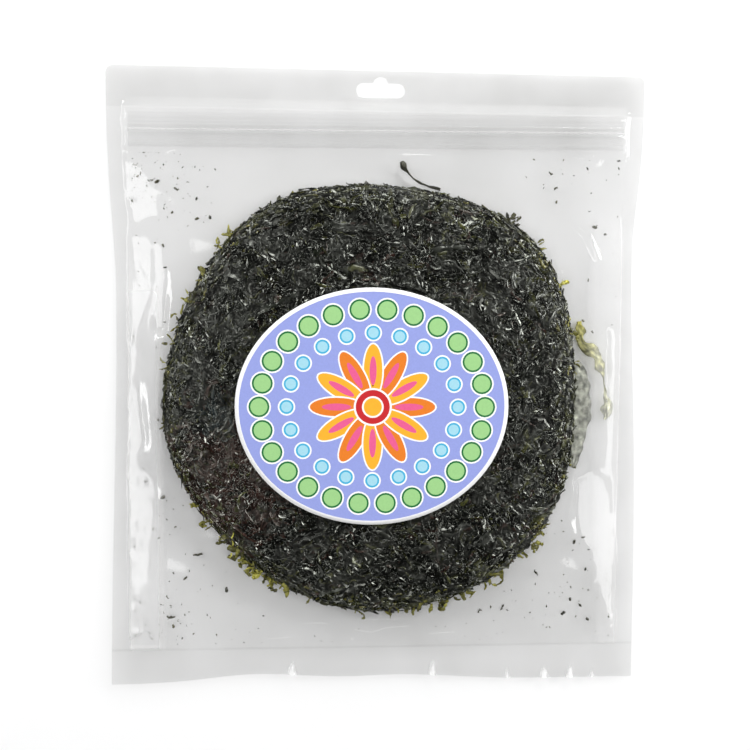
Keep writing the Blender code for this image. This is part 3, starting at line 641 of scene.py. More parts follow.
def rim_fronds():
    """Fronds round the cake's edge, from its shoulder to the back panel, with a few ends standing out."""
    draw = np.random.default_rng(53)
    count, rings = 2600, 6
    angle = draw.uniform(-math.pi, math.pi, count)
    height = draw.uniform(0.0016, 0.0128, count)
    fall = (CAKE_MID - height) / (CAKE_MID - 0.0004)
    rise = np.where(height > CAKE_MID, (height - CAKE_MID) / CAKE_RISE, fall)
    share = np.where(height > CAKE_MID, (1 - rise**3) ** 0.2, (1 - rise**4) ** 0.125)
    step = np.linspace(-0.5, 0.5, rings)
    long = draw.uniform(0.005, 0.014, count)
    lean = draw.normal(0, 0.45, count)
    turn = angle[:, None] + (long * np.cos(lean))[:, None] * step / CAKE_RADIUS
    out = draw.normal(0.0002, 0.0005, count)[:, None] + draw.normal(0, 0.0003, turn.shape)
    stray = draw.uniform(0, 1, count) < 0.13
    out += np.where(stray, draw.uniform(0.0006, 0.0026, count), 0)[:, None] * (step + 0.5) ** 2
    reach = share[:, None] * rim_radius(turn) + out
    high = height[:, None] + (long * np.sin(lean))[:, None] * step * 0.8 + draw.normal(0, 0.0003, turn.shape)
    high = np.clip(high, 0.0013, 0.0138)
    paths = np.stack((CAKE_X + reach * np.cos(turn), CAKE_Y + reach * np.sin(turn), high), axis=-1)
    wide = draw.uniform(0.0009, 0.0026, count)[:, None] * draw.uniform(0.5, 1.2, turn.shape)
    rolls = -math.pi / 2 * np.clip(1.3 - height / 0.0128, 0, 1)[:, None] + draw.normal(0, 0.4, turn.shape)
    x, y = paths[:, 0, 0], paths[:, 0, 1]
    tints = frond_tints(draw, x, y)
    bright = draw.uniform(0, 1, count) < 0.07
    tints[bright] = np.array(BRIGHT_OLIVE) * draw.uniform(0.3, 0.9, bright.sum())[:, None]
    return ribbons("rim_fronds", paths, wide, 0.3 * wide.mean(axis=1), rolls, tints)


laver_dark = laver_finish("laver_dark", roughness=0.20, glow=0)
cake_pieces = [
    cake_bed(),
    crumpled_fronds(
        "long_fronds", seed=61, count=3200, length=(0.014, 0.030), width=(0.0022, 0.0050), rings=10,
        lift=(-0.0013, 0.0004), crumple=0.00045, turning=0.8,
    ),
    crumpled_fronds(
        "short_fronds", seed=62, count=6200, length=(0.005, 0.011), width=(0.0014, 0.0032), rings=5,
        lift=(-0.0006, 0.0008), crumple=0.00042, turning=1.2,
    ),
    laid_fronds(
        "thread_fronds", seed=63, count=2600, length=(0.004, 0.012), width=(0.0004, 0.0011), rings=8,
        lift=(0.0001, 0.0012), crinkle=0.00040, turning=1.1, roll=0.6, wander=0.40,
    ),
    under_fronds(),
    rim_fronds(),
]
for piece in cake_pieces:
    piece.data.materials.append(laver_dark)
    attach(piece, "root")
    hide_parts("laver_cake")

# The front panel: clear film drawn tight over the cake and folded where it runs down to the seals. It is
# welded to the back panel along both sides and the foot, and its header carries the hang slot.
CLEAR = 0.0003
ZIP_END_PLACES = (
    (-0.1400, 0.1408, 0.0026, 0.0045), (0.1388, 0.1486, 0.0036, 0.0042), (0.1378, 0.1374, 0.0036, 0.0036),
)
ZIP_END_CRUSH = 0.00045
ZIP_LINE = (0.1392, 0.009)
ZIP_SPACE = 0.0025
ZIP_RAMP = 0.0040
ZIP_END_RAMP = 0.0025
ZIP_TOP = 0.1500
HEADER_START = 0.1550
FILM_SAG = 0.20
FACET_RISE = 0.0030
FACET_ROUNDS = 40
FILM_CLING = 0.00005
FILM_RIPPLE = 0.00022
FACET_RIPPLE = 0.00006
CRUSH_RIPPLE = 0.00007
FACET_DEPTH = 0.0002
LEFT_SEAL_X = -0.1395
RIGHT_SEAL_X = 0.1390
WELD_BEAD = (0.0004, 0.0012, 0.0008)
FOOT_CREASE = (0.00045, 0.0008)
HEAD_CREASE = (0.00060, 0.0022)
FLUTE_RISE = 0.0016
ZIP_RIDGES = (
    (0.0072, 0.00012, 0.0005), (0.0022, 0.00050, 0.0009), (-0.0024, 0.00035, 0.0008),
    (-0.0070, 0.00022, 0.0006),
)
# Flutes pressed into the foot seal: middle, width, length and size; their raised film carries a painted
# glint.
FLUTES = ((-0.0477, 0.0023, 0.0085, 1.0), (0.0330, 0.0021, 0.0100, 1.0), (0.0983, 0.0026, 0.0075, 0.9))
FLUTES += ((0.1136, 0.0022, 0.0080, 0.9), (0.0767, 0.0016, 0.0065, 0.5), (0.1266, 0.0016, 0.0060, 0.4))
LEFT_FACETS = (
    ((-141.5, 130.1), (-126.6, 115.3), (-120.2, 89.5), (-135.9, 87.6), (-139.5, 100)),
    ((-139.5, 79.4), (-118, 74.8), (-126.2, 55.6)),
    ((-124.8, 72.5), (-119.0, 73.7), (-117, 60), (-117.5, 28.3), (-124.8, 28.3)),
    ((-137.4, 52.8), (-127.6, 51.8), (-135.8, 49.6)),
    ((-128.6, 50.2), (-125.8, 50.2), (-132.2, 28.2), (-134.6, 18), (-138.0, 18), (-135.4, 28.2)),
)
LEFT_CRUSH = (
    (-139.5, 20), (-131.6, 18.8), (-133.9, 3.4), (-129.3, -33.8), (-134.8, -43.9), (-122.3, -55.1),
    (-124.6, -77.6), (-125.2, -91.7), (-128.7, -114.3), (-132.6, -125.7), (-132.7, -142.8),
    (-139.0, -146),
)
RIGHT_FACETS = (
    (
        (113.1, -53), (115, -84.8), (118, -90.6), (124, -99.4), (129.2, -119.8), (136.8, -146.4), (139, -146),
        (138.8, -90), (134, -60), (124, -50),
    ),
    ((130.4, 90), (132.4, 90), (134.3, 82.4), (132.3, 82.4)),
    ((129.4, 29.9), (130.6, 29.9), (132.2, -47.3), (131.0, -47.3)),
)
FOOT_CREASES = (
    ((-0.0460, -0.1365), (-0.0291, -0.1362), (-0.0200, -0.1400), (-0.0131, -0.1468)),
    ((-0.0120, -0.1405), (-0.0023, -0.1423), (0.0051, -0.1395), (0.0183, -0.1386)),
    ((0.0615, -0.1374), (0.0630, -0.1420), (0.0611, -0.1468)), ((0.0871, -0.1395), (0.0849, -0.1471)),
    ((-0.0980, -0.1440), (-0.0700, -0.1465), (-0.0480, -0.1450)), ((0.0300, -0.1440), (0.0480, -0.1425)),
)
HEAD_CREASES = (
    ((0.1240, 0.1250), (0.1130, 0.1190), (0.1020, 0.1070)),
    ((0.1100, 0.0900), (0.1180, 0.0840), (0.1240, 0.0700)),
)


def line_distance(x, y, line):
    """Distance from a line through a few places."""
    found = np.full(np.shape(x), 1.0)
    for (ax, ay), (bx, by) in zip(line[:-1], line[1:]):
        dx, dy = bx - ax, by - ay
        share = np.clip(((x - ax) * dx + (y - ay) * dy) / (dx * dx + dy * dy), 0, 1)
        found = np.minimum(found, np.hypot(x - ax - share * dx, y - ay - share * dy))
    return found


def zip_rise(x, y):
    along = np.minimum((y - POCKET_HIGH) / ZIP_RAMP + 1, (HEADER_START - y) / (HEADER_START - ZIP_TOP))
    fade = (POCKET_HALF - np.abs(x)) / ZIP_END_RAMP + 1
    return ZIP_SPACE * np.clip(along, 0, 1) * np.clip(fade, 0, 1)


def front_height(x, y):
    """The front panel: on the cake as far as its shoulder, then down to the seals with a slight sag."""
    way, _, rim = from_cake(x, y)
    end = pocket_end(x, y)
    sealed = SEAL_LIFT + FILM + CLEAR
    scale = end / np.maximum(way, 1e-6)
    foot = sealed + zip_rise(CAKE_X + (x - CAKE_X) * scale, CAKE_Y + (y - CAKE_Y) * scale)
    slope, shoulder = np.zeros_like(x), np.full_like(x, 0.9)
    for share in np.linspace(0.60, 0.99, 40):
        steep = (cake_top(share) + FROND_TOP + CLEAR - foot) / np.maximum(end - share * rim, 1e-6)
        shoulder = np.where(steep > slope, share, shoulder)
        slope = np.maximum(slope, steep)
    down = np.clip((way - shoulder * rim) / np.maximum(end - shoulder * rim, 1e-6), 0, 1)
    line = foot + slope * (end - way) * (1 - FILM_SAG * down)
    on_cake = cake_top(way / rim) + FROND_TOP + CLEAR
    height = np.where(way <= shoulder * rim, on_cake, line)
    return FILM / 2 + np.where(way >= end, sealed + zip_rise(x, y), height)


def contains(outline, x, y):
    """Which points lie inside a closed outline."""
    found = np.zeros(np.shape(x), dtype=bool)
    for (ax, ay), (bx, by) in zip(outline, np.roll(outline, -1, axis=0)):
        crosses = (ay > y) != (by > y)
        found ^= crosses & (x < ax + (y - ay) * (bx - ax) / (by - ay + 1e-12))
    return found


def creased(z, x, y, free, outlines, seal_x, lamp, waves):
    """Flat facets of folded film that lean in from a side seal, turned so that they mirror a lamp."""
    lowest = back_height(x, y) + FILM + CLEAR
    lean, held = np.zeros_like(z), np.zeros(z.shape, dtype=bool)
    for outline in outlines:
        inner = contains(outline, x * 1000, y * 1000)
        middle = np.mean(outline, axis=0) / 1000
        spot = Vector((middle[0], middle[1], 0.006))
        seen = (CAMERA_PLACE.y - spot.y) / (CAMERA_PLACE.z - spot.z) * (lamp[2] - spot.z)
        reach = 0.9 * FOLD_BOX_LENGTH / 2
        lit = Vector((lamp[0], float(np.clip(spot.y - seen, lamp[1] - reach, lamp[1] + reach)), lamp[2]))
        half = (CAMERA_PLACE - spot).normalized() + (lit - spot).normalized()
        base = SEAL_LIFT + FILM * 1.5 + CLEAR + FACET_DEPTH
        flat = base - half.x / half.z * (x - seal_x) - half.y / half.z * (y - middle[1])
        lean = np.where(inner, np.clip(flat + waves, lowest, z + FACET_RISE) - z, lean)
        held |= inner
    for _ in range(FACET_ROUNDS):
        around = np.zeros_like(z)
        around[1:-1, 1:-1] = (lean[:-2, 1:-1] + lean[2:, 1:-1] + lean[1:-1, :-2] + lean[1:-1, 2:]) / 4
        lean = np.where(held, lean, free * around)
    return z + lean


def settled(z, free, rounds):
    """Heights evened out between neighbours where the film hangs free."""
    for _ in range(rounds):
        around = z.copy()
        around[1:-1, 1:-1] = (z[:-2, 1:-1] + z[2:, 1:-1] + z[1:-1, :-2] + z[1:-1, 2:] + 2 * z[1:-1, 1:-1]) / 6
        z = np.where(free, around, z)
    return z


def film_marks(x, y, way, rim, on_label, haze_and_glint_bloom):
    """How grey, how hazy and how dull the front panel is at each point. Its grey holds painted shade, darker
    towards the foot and the right, above the cake and over the header; its haze holds painted glare beside
    the cake's left rim and near the bag's right edge, and painted glints on the foot's flutes.
    """
    seal = (np.abs(x) > POCKET_HALF) | (y < POCKET_LOW) | (y > ZIP_TOP)
    low = eased((-0.050 - y) / 0.07)
    weld = np.exp(-(((y - POCKET_LOW) / 0.0007) ** 2))
    right = eased((x + 0.10) / 0.20)
    head = eased((y - 0.070) / 0.03) * eased((0.124 - np.abs(x)) / 0.02) * (y < ZIP_TOP)
    # Painted shade: besides the greyer seals and weld line, the grey deepens towards the foot and the right,
    # above the cake and over the header.
    smoke_and_shade = 0.06 + 0.06 * seal + (0.08 + 0.10 * right) * low * (1 - seal) + 0.03 * seal * (y < POCKET_LOW)
    smoke_and_shade += 0.25 * weld + (0.05 + 0.10 * right) * head + (0.13 + 0.06 * right) * (y > ZIP_TOP)
    # Painted glare: a white bloom lightens the open film beside the cake's left rim and near the bag's right
    # edge, standing in for lamp light there.
    open_film = (1 - seal) * eased((way / rim - 1.01) / 0.03)
    left_glare = open_film * eased((-0.116 - x) / 0.008) * eased((0.075 - y) / 0.03)
    right_edge = eased((x - 0.115 - 0.05 * np.abs(y - 0.040)) / 0.010)
    right_glare = open_film * right_edge * eased((0.110 - y) / 0.040)
    haze_and_glare = np.maximum(0.0006 + 0.010 * seal + 0.30 * left_glare + 0.20 * right_glare, haze_and_glint_bloom)
    cling = eased((1.02 - way / rim) / 0.06) * eased((on_label - 0.96) / 0.03)
    pressed = (y > ZIP_TOP - 0.0008) & (y < HEADER_START + 0.0008) & (np.abs(x) < POCKET_HALF)
    return {"smoke_and_shade": smoke_and_shade, "haze_and_glare": haze_and_glare, "cling": 0.03 + np.maximum(cling, 0.9 * pressed)}


def front_film():
    columns = spaced(
        (-0.150, -0.108, 0.0010), (-0.108, -0.016, 0.0015), (-0.016, 0.017, 0.0007),
        (0.017, 0.108, 0.0015), (0.108, 0.150, 0.0010),
    )
    rows = spaced(
        (-0.1725, -0.134, 0.0007), (-0.134, 0.126, 0.0015), (0.126, 0.1525, 0.0005), (0.1525, 0.1725, 0.0007),
    )
    x, y = film_plan(columns, rows)
    draw = np.random.default_rng(8)
    way, _, rim = from_cake(x, y)
    end = pocket_end(x, y)
    z = settled(front_height(x, y), (way > 0.80 * rim) & (way < end - 0.0015), 9)
    pocket = eased((way / rim - 0.88) / 0.1) * eased((end - way) / 0.010)
    off_x, off_y = x - LABEL_PLACE[0], y - LABEL_PLACE[1]
    on_label = np.hypot(off_x / (LABEL_HALF[0] + 0.004), off_y / (LABEL_HALF[1] + 0.004))
    on_cake = eased((1 - way / rim) / 0.08) * eased((on_label - 1) / 0.05)
    z += FILM_RIPPLE * pocket * ripples(x, y, draw, 7, 0.018, 0.045)
    z += FILM_CLING * on_cake * (1 + ripples(x, y, draw, 12, 0.0042, 0.010))
    slow = FACET_RIPPLE * ripples(x, y, draw, 5, 0.010, 0.022)
    free = eased((way / rim - 1.0) / 0.1) * eased((end - way) / 0.004)
    z = creased(z, x, y, free, LEFT_FACETS, LEFT_SEAL_X, LEFT_FOLD_BOX, slow)
    z = creased(z, x, y, free, RIGHT_FACETS, RIGHT_SEAL_X, RIGHT_FOLD_BOX, slow)
    crush = CRUSH_RIPPLE * ripples(x, y, draw, 7, 0.006, 0.014)
    z = creased(z, x, y, free, (LEFT_CRUSH,), LEFT_SEAL_X, LEFT_FOLD_BOX, crush)
    z = settled(z, pocket > 0.01, 1)
    line = ZIP_LINE[0] + ZIP_LINE[1] * x
    fade = np.clip((POCKET_HALF + 0.001 - np.abs(x)) / 0.002, 0, 1)
    for apart, high, wide in ZIP_RIDGES:
        z += fade * high * np.exp(-(((y - line - apart) / wide) ** 2))
    for mid_x, mid_y, reach_x, reach_y in ZIP_END_PLACES:
        near = eased(1.3 - np.hypot((x - mid_x) / reach_x, (y - mid_y) / reach_y))
        z += ZIP_END_CRUSH * near * (1 + ripples(x, y, draw, 6, 0.0022, 0.0042))
    high, above, wide = WELD_BEAD
    z += high * np.exp(-(((y - POCKET_LOW - above) / wide) ** 2)) * (np.abs(x) < POCKET_HALF)
    for creases, (high, wide) in ((FOOT_CREASES, FOOT_CREASE), (HEAD_CREASES, HEAD_CREASE)):
        for crease in creases:
            z += high * np.exp(-((line_distance(x, y, crease) / wide) ** 2))
    waves = sum(rise * np.exp(-(((x - mid) / reach) ** 2)) for rise, mid, reach in BOTTOM_WAVES)
    foot = -BAG_LENGTH / 2 + waves
    haze_and_glint_bloom = np.zeros_like(x)
    # Each flute is raised a little, and a white bloom along it is a painted glint.
    for middle, wide, long, size in FLUTES:
        up = np.clip(1 - (y - foot) / long, 0, 1)
        flute = size * up * np.clip(1 - np.abs(x - middle) / (wide * (0.35 + 0.65 * up)), 0, 1)
        z += FLUTE_RISE * flute
        haze_and_glint_bloom = np.maximum(haze_and_glint_bloom, np.clip(2.5 * flute, 0, 0.95))
    made = film_sheet("front_panel", x, y, z, film_marks(x, y, way, rim, on_label, haze_and_glint_bloom))
    made.data.materials.append(clear_film("front_film_clear", 0.07))
    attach(made, "root")
    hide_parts("front_film")
    return made


front_panel = front_film()

# The press zip: two extruded strips of clear plastic, a grooved one welded inside the back panel and a
# tongued one inside the front panel. The tongued strip's ribs are raised a little and carry painted
# highlights, pale lines of white bloom, and painted shade, dark lines of grey tint.
ZIP_HALF_WIDTH = 0.0094
ZIP_HALF_LENGTH = 0.1380
ZIP_RIB = 0.0004
# Lines along the zip: place across it, width, the strength of a painted highlight and the strength of painted
# shade.
ZIP_LINES = (
    (0.0000, 0.0006, 0.34, 0.0), (0.0020, 0.0007, 0.0, 0.16), (-0.0022, 0.0010, 0.0, 0.13),
    (0.0061, 0.0009, 0.0, 0.08), (-0.0076, 0.0008, 0.06, 0.0), (-0.0088, 0.0008, 0.0, 0.08),
    (0.0040, 0.0006, 0.04, 0.0),
)


def zip_strip(name, node, floor_of, gap, ribs):
    across = spaced((-ZIP_HALF_WIDTH, ZIP_HALF_WIDTH, 0.00025))
    run = spaced((-ZIP_HALF_LENGTH, ZIP_HALF_LENGTH, 0.0040))
    x, offset = np.meshgrid(run, across)
    y = ZIP_LINE[0] + ZIP_LINE[1] * x + offset
    z = floor_of(x, y) + gap
    haze_and_glare, smoke_and_shade = 0.004 + 0 * x, 0.02 + 0 * x
    # Along each rib a pale painted highlight goes into the haze mark and dark painted shade into the grey
    # mark.
    for place, wide, painted_highlight, painted_shade in ZIP_LINES:
        rib = np.exp(-(((offset - place) / wide) ** 2))
        z += ribs * ZIP_RIB * rib
        haze_and_glare += painted_highlight * rib * (ribs > 0)
        smoke_and_shade += painted_shade * rib * (ribs > 0)
    made = film_sheet(name, x, y, z, {"smoke_and_shade": smoke_and_shade, "haze_and_glare": haze_and_glare, "cling": 0 * x})
    made.data.materials.append(clear_film(name + "_clear", 0.2, 0.006))
    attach(made, "root")
    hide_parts(node)


zip_strip("zip_groove_strip", "zip_groove", back_height, 0.0007, 0.0)
zip_strip("zip_tongue_strip", "zip_tongue", front_height, -0.0011, 1.0)

# Loose laver inside the bag: an olive frond that trails off the right rim, a pale one along it, a sprig off
# the top rim, leafy tufts round the rim, and flakes and crumbs that broke off. They lie on the back panel.
FROND_THICK = 0.0008
BLADE_OLIVE = (0.40, 0.38, 0.06)
BLADE_YELLOW = (0.62, 0.58, 0.12)
BLADE_PALE = (0.80, 0.80, 0.60)
BLADE_VEIL = (0.56, 0.57, 0.50)
BLADE_BROWN = (0.050, 0.045, 0.022)
TRAILING = (
    (0.1146, 0.0345, 0.0014, 0.0034, 0), (0.1158, 0.0285, 0.0008, 0.0040, 0),
    (0.1176, 0.0225, 0.0009, 0.0038, 0), (0.1216, 0.0180, 0.0014, 0.0052, 12),
    (0.1252, 0.0140, 0.0013, 0.0062, -10), (0.1284, 0.0085, 0.0012, 0.0044, 8),
    (0.1297, 0.0035, 0.0009, 0.0018, 0), (0.1302, -0.0025, 0.0006, 0.0014, 0),
    (0.1310, -0.0085, 0.0005, 0.0020, 0), (0.1322, -0.0130, 0.0005, 0.0042, 0),
    (0.1316, -0.0172, 0.0005, 0.0044, 0), (0.1308, -0.0215, 0.0005, 0.0018, 0),
)
PALE = (
    (0.1140, 0.0110, 0.0040, 0.0040, 0), (0.1158, 0.0040, 0.0046, 0.0080, 0),
    (0.1164, -0.0040, 0.0042, 0.0110, 0), (0.1160, -0.0120, 0.0047, 0.0100, 0),
    (0.1160, -0.0200, 0.0042, 0.0116, 0), (0.1154, -0.0270, 0.0046, 0.0096, 0),
    (0.1146, -0.0340, 0.0041, 0.0090, 0), (0.1136, -0.0410, 0.0044, 0.0066, 0),
    (0.1120, -0.0490, 0.0040, 0.0030, 0),
)
SPRIG = (
    (0.0120, 0.1228, 0.0016, 0.0020, 0), (0.0136, 0.1200, 0.0020, 0.0034, 15),
    (0.0160, 0.1168, 0.0022, 0.0014, 0), (0.0192, 0.1136, 0.0020, 0.0012, 0),
    (0.0232, 0.1110, 0.0018, 0.0012, 0), (0.0284, 0.1093, 0.0016, 0.0012, 0),
    (0.0344, 0.1078, 0.0014, 0.0012, 0),
)
FLAKES = (
    (-0.1121, 0.1060, 0.0060, 0.0030, -25), (-0.1010, 0.1010, 0.0042, 0.0030, 60),
    (-0.1010, 0.0900, 0.0050, 0.0032, 10), (0.0970, 0.1180, 0.0052, 0.0028, -40),
    (0.1230, 0.0880, 0.0060, 0.0040, -10), (0.1150, -0.0930, 0.0050, 0.0042, 80),
    (0.1090, -0.1345, 0.0056, 0.0045, 35), (0.1190, -0.1300, 0.0052, 0.0030, -55),
    (0.0930, -0.1110, 0.0078, 0.0026, -50), (0.0600, -0.1330, 0.0052, 0.0034, 55),
    (0.0735, -0.1310, 0.0075, 0.0026, 88), (-0.0850, -0.1190, 0.0060, 0.0045, 80),
    (-0.1010, -0.0990, 0.0110, 0.0038, -12), (-0.1205, -0.0660, 0.0052, 0.0044, 20),
    (-0.1080, -0.1120, 0.0055, 0.0030, 30), (-0.1160, -0.1340, 0.0100, 0.0040, -5),
)
RIM_TUFT_REACH = 0.0062
TUFTS = (
    (-0.0814, 0.0825, 0.0075, 3, 1.0), (-0.0884, 0.0749, 0.0060, 5, 0.8),
    (0.0905, 0.0770, 0.0070, 3, 0.45), (0.1028, 0.0533, 0.0080, 5, 1.0), (0.1070, 0.0290, 0.0065, 5, 0.9),
    (-0.1030, -0.0687, 0.0060, 3, 0.7), (-0.0882, -0.0912, 0.0070, 4, 0.9),
    (-0.0800, -0.0970, 0.0090, 5, 0.8), (-0.0720, -0.1045, 0.0080, 5, 0.8),
    (-0.0620, -0.1120, 0.0080, 4, 0.6), (-0.0084, -0.1310, 0.0075, 4, 0.7),
    (0.0198, -0.1240, 0.0080, 4, 0.7), (0.0964, -0.0864, 0.0070, 4, 0.6),
    (0.0811, -0.1006, 0.0070, 4, 0.6), (-0.0646, 0.0936, 0.0050, 3, 0.15),
    (-0.0603, 0.0964, 0.0050, 3, 0.15), (0.0717, 0.0906, 0.0060, 6, 0.12),
    (0.0760, 0.0880, 0.0060, 6, 0.12), (-0.1190, 0.0100, 0.0050, 4, 0.5),
    (-0.1205, -0.0250, 0.0050, 4, 0.5), (0.1120, 0.0100, 0.0060, 4, 0.7),
    (0.1105, -0.0500, 0.0060, 4, 0.5), (0.0500, -0.1180, 0.0060, 4, 0.6),
    (-0.0350, -0.1225, 0.0060, 4, 0.6), (-0.0960, -0.0830, 0.0090, 5, 0.9),
    (-0.0840, -0.0950, 0.0100, 6, 1.0), (-0.0760, -0.1010, 0.0100, 6, 0.9),
    (-0.0670, -0.1085, 0.0100, 6, 0.9), (-0.0560, -0.1150, 0.0090, 5, 0.7),
    (0.0080, -0.1270, 0.0080, 5, 0.6), (0.0320, -0.1230, 0.0090, 5, 0.7),
    (0.0440, -0.1200, 0.0090, 5, 0.8), (0.0620, -0.1130, 0.0080, 5, 0.6),
    (0.0730, -0.1070, 0.0110, 5, 0.7), (0.0890, -0.0950, 0.0090, 5, 0.7),
    (-0.1120, 0.0350, 0.0060, 5, 0.6), (-0.1070, 0.0480, 0.0060, 5, 0.7),
    (-0.1000, 0.0600, 0.0060, 5, 0.6), (-0.1160, 0.0210, 0.0060, 4, 0.6),
)
CRUMB_FIELDS = (
    (-0.126, 0.112, 0.010, 0.011, 60), (-0.106, 0.102, 0.010, 0.012, 26),
    (-0.128, 0.050, 0.006, 0.040, 26), (-0.122, -0.095, 0.010, 0.030, 56),
    (-0.100, -0.130, 0.022, 0.012, 40), (-0.127, -0.146, 0.008, 0.003, 22),
    (0.112, 0.118, 0.018, 0.012, 22), (0.128, 0.060, 0.006, 0.030, 14), (0.122, -0.110, 0.012, 0.022, 44),
    (0.095, -0.132, 0.024, 0.010, 40), (0.0, -0.143, 0.060, 0.006, 24),
)


def drift(draw, count, reach=7):
    """A slow random wander about 0, about 1 high."""
    wave = np.convolve(draw.normal(0, 1, count + reach - 1), np.hanning(reach + 2)[1:-1], "valid")
    return wave / np.sqrt((np.hanning(reach + 2) ** 2).sum())


def ruffled_blade(name, line, tints, seed, replaced, finish, wave=0.0007, rag=0.55):
    """A thin blade along rows of x, y, height, width and tilt, with a waved and torn edge."""
    draw = np.random.default_rng(seed)
    rows = np.array(line)
    along = np.concatenate(([0], np.cumsum(np.hypot(*np.diff(rows[:, :2], axis=0).T))))
    stations, over = max(24, int(along[-1] / 0.0007)), 7
    where = np.linspace(0, along[-1], stations)
    x, y, height, width, tilt = (np.interp(where, along, rows[:, column]) for column in range(5))
    smooth = np.hanning(7) / np.hanning(7).sum()
    x, y = (np.pad(part, 3, mode="reflect", reflect_type="odd") for part in (x, y))
    x, y = np.convolve(x, smooth, "valid"), np.convolve(y, smooth, "valid")
    run = np.gradient(np.stack((x, y), axis=-1), axis=0)
    run /= np.linalg.norm(run, axis=1, keepdims=True)
    across = np.linspace(-0.5, 0.5, over)
    edges = np.stack([drift(draw, stations, 11) for _ in (0, 1)], axis=-1)
    torn = 1 + rag * edges[:, np.where(across < 0, 0, 1)]
    spread = width[:, None] * across * np.clip(torn, 0.35, 1.7)
    px = x[:, None] - run[:, 1:] * spread
    py = y[:, None] + run[:, :1] * spread
    ruffle = wave * np.stack([drift(draw, stations) for _ in range(over)], axis=-1)
    low = back_height(px, py) + FILM / 2 + CLEAR + FROND_THICK / 2
    high = front_height(px, py) - FILM / 2 - FROND_THICK - CLEAR
    pz = low + height[:, None] + np.tan(np.radians(tilt))[:, None] * spread + ruffle
    pz = np.clip(pz, low - 0.0002, np.maximum(high, low))
    index = np.arange(stations * over).reshape(stations, over)
    faces = np.stack((index[:-1, :-1], index[:-1, 1:], index[1:, 1:], index[1:, :-1]), axis=-1).reshape(-1, 4)
    shade = np.stack([np.clip(1 + 0.4 * drift(draw, stations), 0.35, 1.8) for _ in range(over)], axis=-1)
    shade *= 1 - 0.4 * (2 * np.abs(across)) ** 6
    blend = np.repeat(np.sqrt(where / along[-1]), over)[:, None]
    colours = (np.array(tints[0]) * (1 - blend) + np.array(tints[1]) * blend) * shade.reshape(-1, 1)
    made = shape_mesh(name, np.stack((px, py, pz), axis=-1).reshape(-1, 3), faces, colours)
    skin = made.modifiers.new("skin", "SOLIDIFY")
    skin.thickness = 0.0003
    skin.offset = 0
    made.data.shade_smooth()
    made.data.materials.append(finish)
    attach(made, "root")
    if replaced:
        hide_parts(replaced)
    return made


def rim_tufts():
    """Leafy scraps in bunches round the cake's rim: x, y, length, count and how light they are."""
    draw = np.random.default_rng(71)
    rings = 7
    starts, headings, lengths, lights = [], [], [], []
    for x, y, long, count, light in TUFTS:
        way, angle, rim = from_cake(x, y)
        root = min(way, rim - 0.0005)
        x, y = CAKE_X + root * math.cos(angle), CAKE_Y + root * math.sin(angle)
        for _ in range(count):
            shift = draw.normal(0, 0.0018, 2)
            starts.append((x + shift[0], y + shift[1]))
            headings.append(angle + draw.normal(0, 0.9))
            lengths.append(long * draw.uniform(0.5, 1.1))
            lights.append(light)
    starts, headings = np.array(starts), np.array(headings)
    lengths, lights = np.array(lengths), np.array(lights)
    count, step = len(starts), np.linspace(-0.5, 0.5, rings)
    turn = headings[:, None] + draw.normal(0, 0.8, count)[:, None] * step
    turn = turn + draw.normal(0, 0.25, (count, rings))
    gap = (lengths / (rings - 1))[:, None]
    px = starts[:, :1] + np.cumsum(np.cos(turn) * gap, axis=1)
    py = starts[:, 1:] + np.cumsum(np.sin(turn) * gap, axis=1)
    way, angle, rim = from_cake(px, py)
    way = np.minimum(way, rim + RIM_TUFT_REACH)
    px, py = CAKE_X + way * np.cos(angle), CAKE_Y + way * np.sin(angle)
    low = back_height(px, py) + 0.0012
    high = np.minimum(front_height(px, py) - 0.0012, 0.0140)
    share = draw.uniform(0.35, 1.0, (count, 1)) + draw.normal(0, 0.06, px.shape)
    pz = low + (high - low) * np.clip(share, 0.1, 1)
    wide = (lengths * draw.uniform(0.16, 0.42, count))[:, None] * np.sin(np.linspace(0.35, 2.9, rings)) ** 0.6
    wide = wide * draw.uniform(0.6, 1.25, px.shape)
    tints = np.array(BLADE_OLIVE) * (lights * draw.uniform(0.4, 2.2, count))[:, None] + np.array(BLACK_GREEN)
    paths = np.stack((px, py, pz), axis=-1)
    made = ribbons("rim_tufts", paths, wide, 0.12 * wide.mean(axis=1), draw.normal(0, 0.5, px.shape), tints)
    made.data.materials.append(laver_olive)
    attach(made, "root")


def scraps(name, draw, x, y, length, width, turn, tints):
    """Small dry scraps, bent up at their ends, on the back panel."""
    rings = 5
    step = np.linspace(-0.5, 0.5, rings)
    heading = turn[:, None] + draw.normal(0, 0.35, (len(x), rings))
    px = x[:, None] + np.cos(heading) * length[:, None] * step
    py = y[:, None] + np.sin(heading) * length[:, None] * step
    curl = (0.16 * length)[:, None] * (2 * step) ** 2 * draw.uniform(0, 1, px.shape)
    pz = back_height(px, py) + FILM / 2 + CLEAR + curl
    wide = width[:, None] * draw.uniform(0.5, 1.2, px.shape) * np.sin(np.linspace(0.5, 2.6, rings))
    paths = np.stack((px, py, pz), axis=-1)
    return ribbons(name, paths, wide, 0.22 * width, draw.normal(0, 0.3, px.shape), tints)


